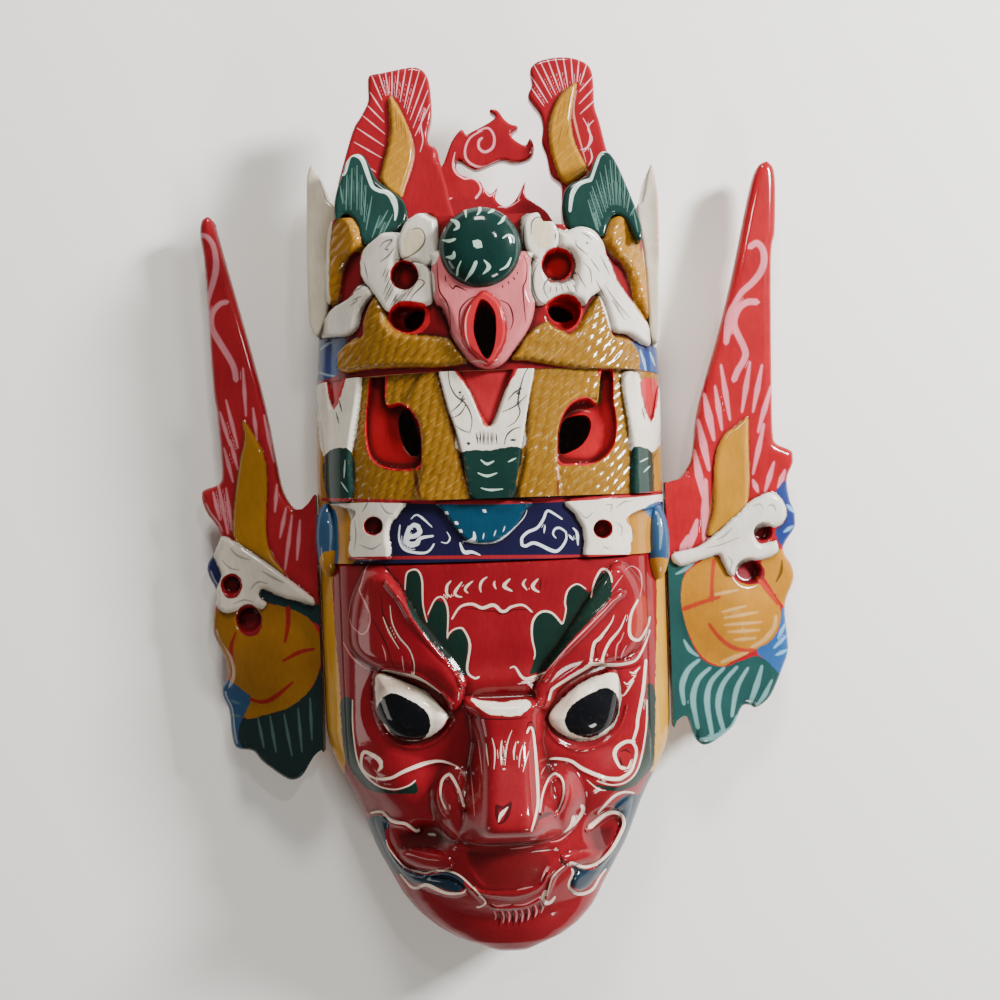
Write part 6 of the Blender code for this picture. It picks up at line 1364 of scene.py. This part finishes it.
# Most of the left ear's coats are darker copies of the right ear's: painted shade for the side that gets less of the
# light from the right
earCoats = {
    "leftEar": {
    "fanGreen": {"colour": "#152524", "areas": [[236,728, 14,-12, 25,-4, 23,-12, 16,-16, 8,-20, 13,-4, 0,135,
     -95,0]]},
    "tealStripe": {"colour": "#152A2D", "areas": [[256,588, 14,2, 30,10, 16,4, 19,6, 0,20, -35,-14, -30,-13,
     -10,-5]]},
    "ballGold": {"colour": "#7F5416", "areas": [[212,612, 13,0, 15,-3, 22,-5, 18,2, 18,6, 14,10, 8,18, 0,25, -7,20,
     -13,15, -15,9, -20,6, -17,4, -8,-11, -8,-18, -4,-18, -8,-17, -9,-15]]},
    "edgeBlue": {"colour": "#26405E", "areas": [[216,680, 12,0, 12,8, 11,10, -5,14, -5,10, -3,13, 4,17, -14,0,
     -6,-42]]},
    "featherGold": {"colour": "#8F6218", "areas": [ears["leftEar"]["feather"]]},
    "spearPink": {"colour": "#C9868F", "share": 0.75, "soft": 1.2, "lines": {(2.2, 3.2, 2): [[201,235, 6,2, 6,8, 3,15,
     -1,15, -7,25, -1,15]], (2.4, 3.2, 2.8): [[227,302, -7,2, -7,8, -2,10, 3,11, 14,23, 6,12, 2,12]]}, "ticks": {2:
     [243,368, 3,48, 226,400, 12,48, 220,412, 10,34, 253,408, 4,32, 264,415, 10,47, 217,478, 11,56, 226,488, 6,42,
     224,448, 9,34, 213,492, 7,28, 277,484, -2,28, 286,508, -6,30, 292,515, -7,55, 300,520, -3,40, 230,440, 8,30]}},
    "lobeNavy": {"colour": "#1B1F4B", "areas": [[203,556, 9,-5, 5,9, 6,12, -1,10, -7,10, -10,-12]]},
    "cloudGrey": {"colour": "#BDB3A5", "areas": [ears["leftEar"]["cloud"]]},
    "cloudLine": {"colour": "#6E6A66", "share": 0.7, "lines": {1.4: [[262,571, 10,6, 12,6]], 1.2: [[230,548, 8,8,
     12,4]], 1.1: [[250,590, 8,-8, 10,2]], 1: [[222,560, 8,8, 10,2], [234,604, 10,-4, 10,2]]}},
    "pitRed": {"colour": "#701019", "areas": [[222,579, 9,-6, 9,5, 2,10, -5,9, -9,1, -7,-8], [236,617, 4,-9, 8,-4,
     9,4, 5,10, -1,11, -7,7, -10,-1, -6,-8]]},
    "ballRed": {"colour": "#7C1B16", "soft": 1, "lines": {(2.6, 2.4, 1.4): [[288,608, 0,17, -3,17]], (1.4, 2.4, 1.2):
     [[314,649, -14,3, -17,9]], (1.2, 2.6, 1.4): [[293,682, -18,15, -13,5, -12,-3]], 2.2: [[236,632, -5,16, 3,16]]}},
    "fanLight": {"colour": "#48615E", "share": 0.7, "soft": 1, "ticks": {1.6: [258,718, 6,30, 270,716, 6,36, 284,714,
     8,42, 298,708, 4,44, 310,698, 2,42, 230,700, 10,4, 231,715, 9,1]}}},
    "rightEar": {
    "fanGreen": {"colour": "#1F4442", "areas": [[650,562, 26,0, 14,2, -6,11, -3,23, 4,24, 8,23, 11,15, 18,7, 18,-6,
     15,-5, 13,5, 12,13, 10,26, 0,60, -140,0]]},
    "ballGold": {"colour": "#A66F1C", "areas": [[684,577, 14,-14, 18,-7, 14,20, 15,8, 17,1, 13,13, 6,15, -3,17,
     -10,13, -33,17, -13,6, -16,-6, -12,-15, -9,-23, -4,-24], [764,556, 12,-5, 12,-2, 10,11, 1,30, -7,16, -8,0,
     -9,-12, -13,-22]]},
    "ballLight": {"colour": "#CDA064", "share": 0.7, "soft": 1.5, "lines": {(1.6, 2.6, 1.6): [[776,616, -2,12, -10,12,
     -12,7]], (1.6, 2.4, 1): [[722,662, 13,-5, 13,-5]]}, "ticks": {1.8: [722,612, 24,-6, 724,618, 34,-6, 724,625,
     38,-3, 728,632, 32,-2, 734,640, 22,-2, 712,595, 26,-5]}},
    "edgeBlue": {"colour": "#29548A", "areas": [[784,607, 12,5, 0,38, -7,18, -10,5, -9,-10, -10,-7, -3,-7, 11,-6,
     10,-12, 3,-15]]},
    "featherGold": {"colour": "#A8741B", "areas": [ears["rightEar"]["feather"]]},
    "featherShade": {"colour": "#BE8440", "share": 0.6, "soft": 1, "lines": {(1, 2.2, 1.2): [[748,420, -2,25, 1,35,
     -1,26]], 1.6: [[716,455, -2,35, -6,38]]}},
    "spearPink": {"colour": "#DC7F8D", "share": 0.85, "soft": 1.2, "lines": {(3, 3.4, 2.6): [[750,247, 7,-4, 6,7,
     1,12, -4,11, -8,10, -10,9, -7,11]], (2.6, 4.6, 2.6): [[735,303, -5,12, -4,28]], (3.2, 3.2, 3): [[757,302, -9,0,
     -8,5, -5,10, 0,11, 10,22, -1,10, -6,10, -4,10]]}, "ticks": {2.8: [721,365, 9,55, 715,386, 7,44, 750,362, -8,50,
     762,365, -9,47, 771,386, -13,46, 764,424, -11,50, 774,462, -9,30, 785,470, -7,18, 753,480, 5,12], 4: [704,394,
     10,46, 698,420, 11,50, 694,450, 10,50, 706,480, -2,60, 697,520, -7,28, 688,536, -8,20]}},
    "lobeNavy": {"colour": "#27356F", "areas": [[776,493, 10,-13, 8,6, 6,17, 0,19, -4,12, -8,15, -10,-8, -2,-11, 8,-8,
     3,-14]]},
    "cloudGrey": {"colour": "#D6CFC4", "areas": [ears["rightEar"]["cloud"]]},
    "cloudLine": {"colour": "#8A857F", "share": 0.7, "lines": {1.4: [[716,540, 8,-4, 8,-8]], 1.6: [[768,506, 5,-1,
     3,6]], 1: [[706,548, 14,-3, 20,-8], [752,506, 8,-2, 4,6]], 1.2: [[728,556, 4,6, -2,8]]}},
    "pitRed": {"colour": "#7A1420", "areas": [[755,536, 2,-5, 13,-5, 3,4, -2,7, -6,5, -6,1], [736,573, 4,-7, 7,-4,
     10,0, 7,6, 0,10, -7,5, -9,1, -8,-3]]},
    "ballRed": {"colour": "#A2361F", "soft": 1, "lines": {(2.2, 1.8, 2.4): [[714,560, -2,20, 0,20]], (2.4, 2.2, 1.4):
     [[684,609, 16,-6, 20,-6]], (1.6, 2.4, 1.6): [[709,624, 9,12, 12,10, 12,4, 12,0], [757,577, 10,13, 11,14]]}},
    "lobeInk": {"colour": "#3A2A10", "share": 0.8, "soft": 1, "lines": {1.8: [[782,560, -1,12, -5,10]]}},
    "edgeSky": {"colour": "#7FB0DE", "share": 0.8, "soft": 1.4, "ticks": {2: [776,655, 11,-5, 774,648, 12,-12,
     778,638, 7,-14, 787,505, 7,7, 784,532, 9,-6]}},
    "fanLight": {"colour": "#6F9C9B", "share": 0.85, "soft": 1.2, "lines": {(1.6, 3, 1.8): [[699,660, -11,10, -6,16,
     2,18], [710,668, -12,12, -5,20, 5,28]], (1.6, 3, 2): [[724,668, -13,14, -4,20, 5,32]], (1.6, 2.8, 2): [[737,667,
     -14,17, -5,22, 6,26]], (1.4, 2.6, 1.6): [[748,668, -11,20, -5,28]], (1.4, 3, 2): [[762,666, -5,18, -7,20]], (2,
     3.2, 2): [[700,740, 12,-2, 18,-8, 8,-14]], 2.4: [[772,680, -8,16, -8,10]], 2: [[676,574, 8,-4, 10,-7]], 2.2:
     [[684,640, 6,10, 8,6]]}}}}


for name, ground in (("leftEar", "#921A23"), ("rightEar", "#99111C")):
    paint = lacqueredPaint("painted_wood_" + name, ground, earCoats[name])
    piece = makeEar(name, paint)
    paintFields(piece, earCoats[name], len(piece.data.vertices) // 2)
    ready(piece, ears[name]["node"])

# The round boss over the beak, and the beads at the band's corners: middle and half sizes
boss = {"middle": (-1.4, 118.8), "radius": 19.8, "height": 9.0, "level": 98.0, "base": 86.0, "rim": 3.0,
        "curve": (3.2, 2.2), "points": 96, "spacing": 0.5}
beads = {"leftBead": ((-83.5, -17.0, 52.0), (6.5, 19.0, 8.0)), "rightBead": ((82.5, -24.0, 50.0), (6.5, 19.0, 8.0))}


def bossTop(x, y, inside):
    # A shallow cushion with a steep rounded rim
    share = np.clip(1.0 - inside / boss["radius"], 0.0, 1.0)
    curve = (1.0 - share ** boss["curve"][0]) ** (1 / boss["curve"][1])
    return boss["level"] - boss["rim"] + (boss["height"] + boss["rim"]) * curve


bossCoats = {
    "bossRim": {"colour": "#12302A", "share": 0.7, "soft": 1.5, "lines": {(1.8, 1.8, 1.8): [[480,286, -20,-5, -14,-15,
     -5,-20, 5,-22, 14,-15, 20,-5], [480,204, 21,5, 13,15, 5,22, -5,20, -14,15, -20,5]]}},
    "bossTicks": {"colour": "#A9C5B5", "lines": {(0.8, 1.5, 0.6): [[460,206, 5,4, 1,7]], (1.4, 1.5, 0.6): [[479,204,
     1,6, -3,5]], (0.6, 1.7, 0.5): [[495,205, -2,5, -5,3]], (0.5, 1.6, 0.5): [[506,214, -4,7, -4,3]], (0.5, 2.4, 0.8):
     [[449,219, 7,3, 2,5, -4,3]], (0.5, 1.8, 1.2): [[442,240, 7,1, 6,-2]], (1.2, 2.4, 0.6): [[454,252, -1,5, -7,0]],
     (0.5, 1, 1.2): [[461,261, -3,7, -1,7]], (1.8, 2, 0.5): [[476,262, -4,9, -7,10]], (0.5, 2.2, 0.5): [[484,260, 5,7,
     -6,7]], (0.8, 1.2, 0.6): [[503,238, 5,-3, 5,2, 1,6]], (0.6, 1.4, 0.8): [[500,270, 7,-4, 4,-8]], (4.2, 4.6, 4.2):
     [[476,243, 3,2]]}}}
beadCoats = {
    "beadStripe": {"colour": "#7F9AAB", "soft": 1, "share": 0.6, "lines": {1.6: [[329,512, 2,18, -1,22]], 2:
     [[657,512, 4,16, -1,22]]}},
    "beadGold": {"colour": "#A87325", "areas": [[320,556, 22,0, 0,44, -22,0], [645,562, 30,0, 0,38, -30,0]]}}
bossPaint = lacqueredPaint("green_lacquered_boss", "#0C2A26", bossCoats)
roundBoss = trimmedPlate("roundBoss", oval(*boss["middle"], boss["radius"], boss["radius"], boss["points"]),
                         boss["spacing"], bossTop, lambda x, y, inside: np.full(np.shape(x), boss["base"]),
                         [bossPaint])
paintFields(roundBoss, bossCoats, len(roundBoss.data.vertices) // 2)
ready(roundBoss, "mask_body")


def makeBead(name, paint, rings=40, turns=48):
    # A stretched sphere: half sizes times (cos a cos b, sin a, cos a sin b), closed by a fan at each pole
    middle, half = beads[name]
    a = (np.arange(1, rings) / rings - 0.5) * math.pi
    b = np.arange(turns) / turns * math.tau
    aGrid, bGrid = np.meshgrid(a, b, indexing="ij")
    body = np.stack([np.cos(aGrid) * np.cos(bGrid), np.sin(aGrid), -np.cos(aGrid) * np.sin(bGrid)], axis=2)
    points = np.concatenate([body.reshape(-1, 3), [(0, -1, 0), (0, 1, 0)]]) * half + middle
    number = np.arange((rings - 1) * turns).reshape(rings - 1, turns)
    following = np.roll(number, -1, axis=1)
    quads = np.stack([number[:-1], following[:-1], following[1:], number[1:]], axis=2).reshape(-1, 4)
    last = number.size
    lowCap = np.stack([np.full(turns, last), following[0], number[0]], axis=1)
    highCap = np.stack([np.full(turns, last + 1), number[-1], following[-1]], axis=1)
    piece = makePiece(name, points, [quads, lowCap, highCap], [paint])
    for field in ("grimeAndShade", "edge"):
        addField(piece, field, np.zeros(len(points)))
    return piece


beadPaint = lacqueredPaint("blue_lacquered_beads", "#2D4A6B", beadCoats)
for name in beads:
    bead = makeBead(name, beadPaint)
    paintFields(bead, beadCoats, len(bead.data.vertices))
    ready(bead, "mask_body")
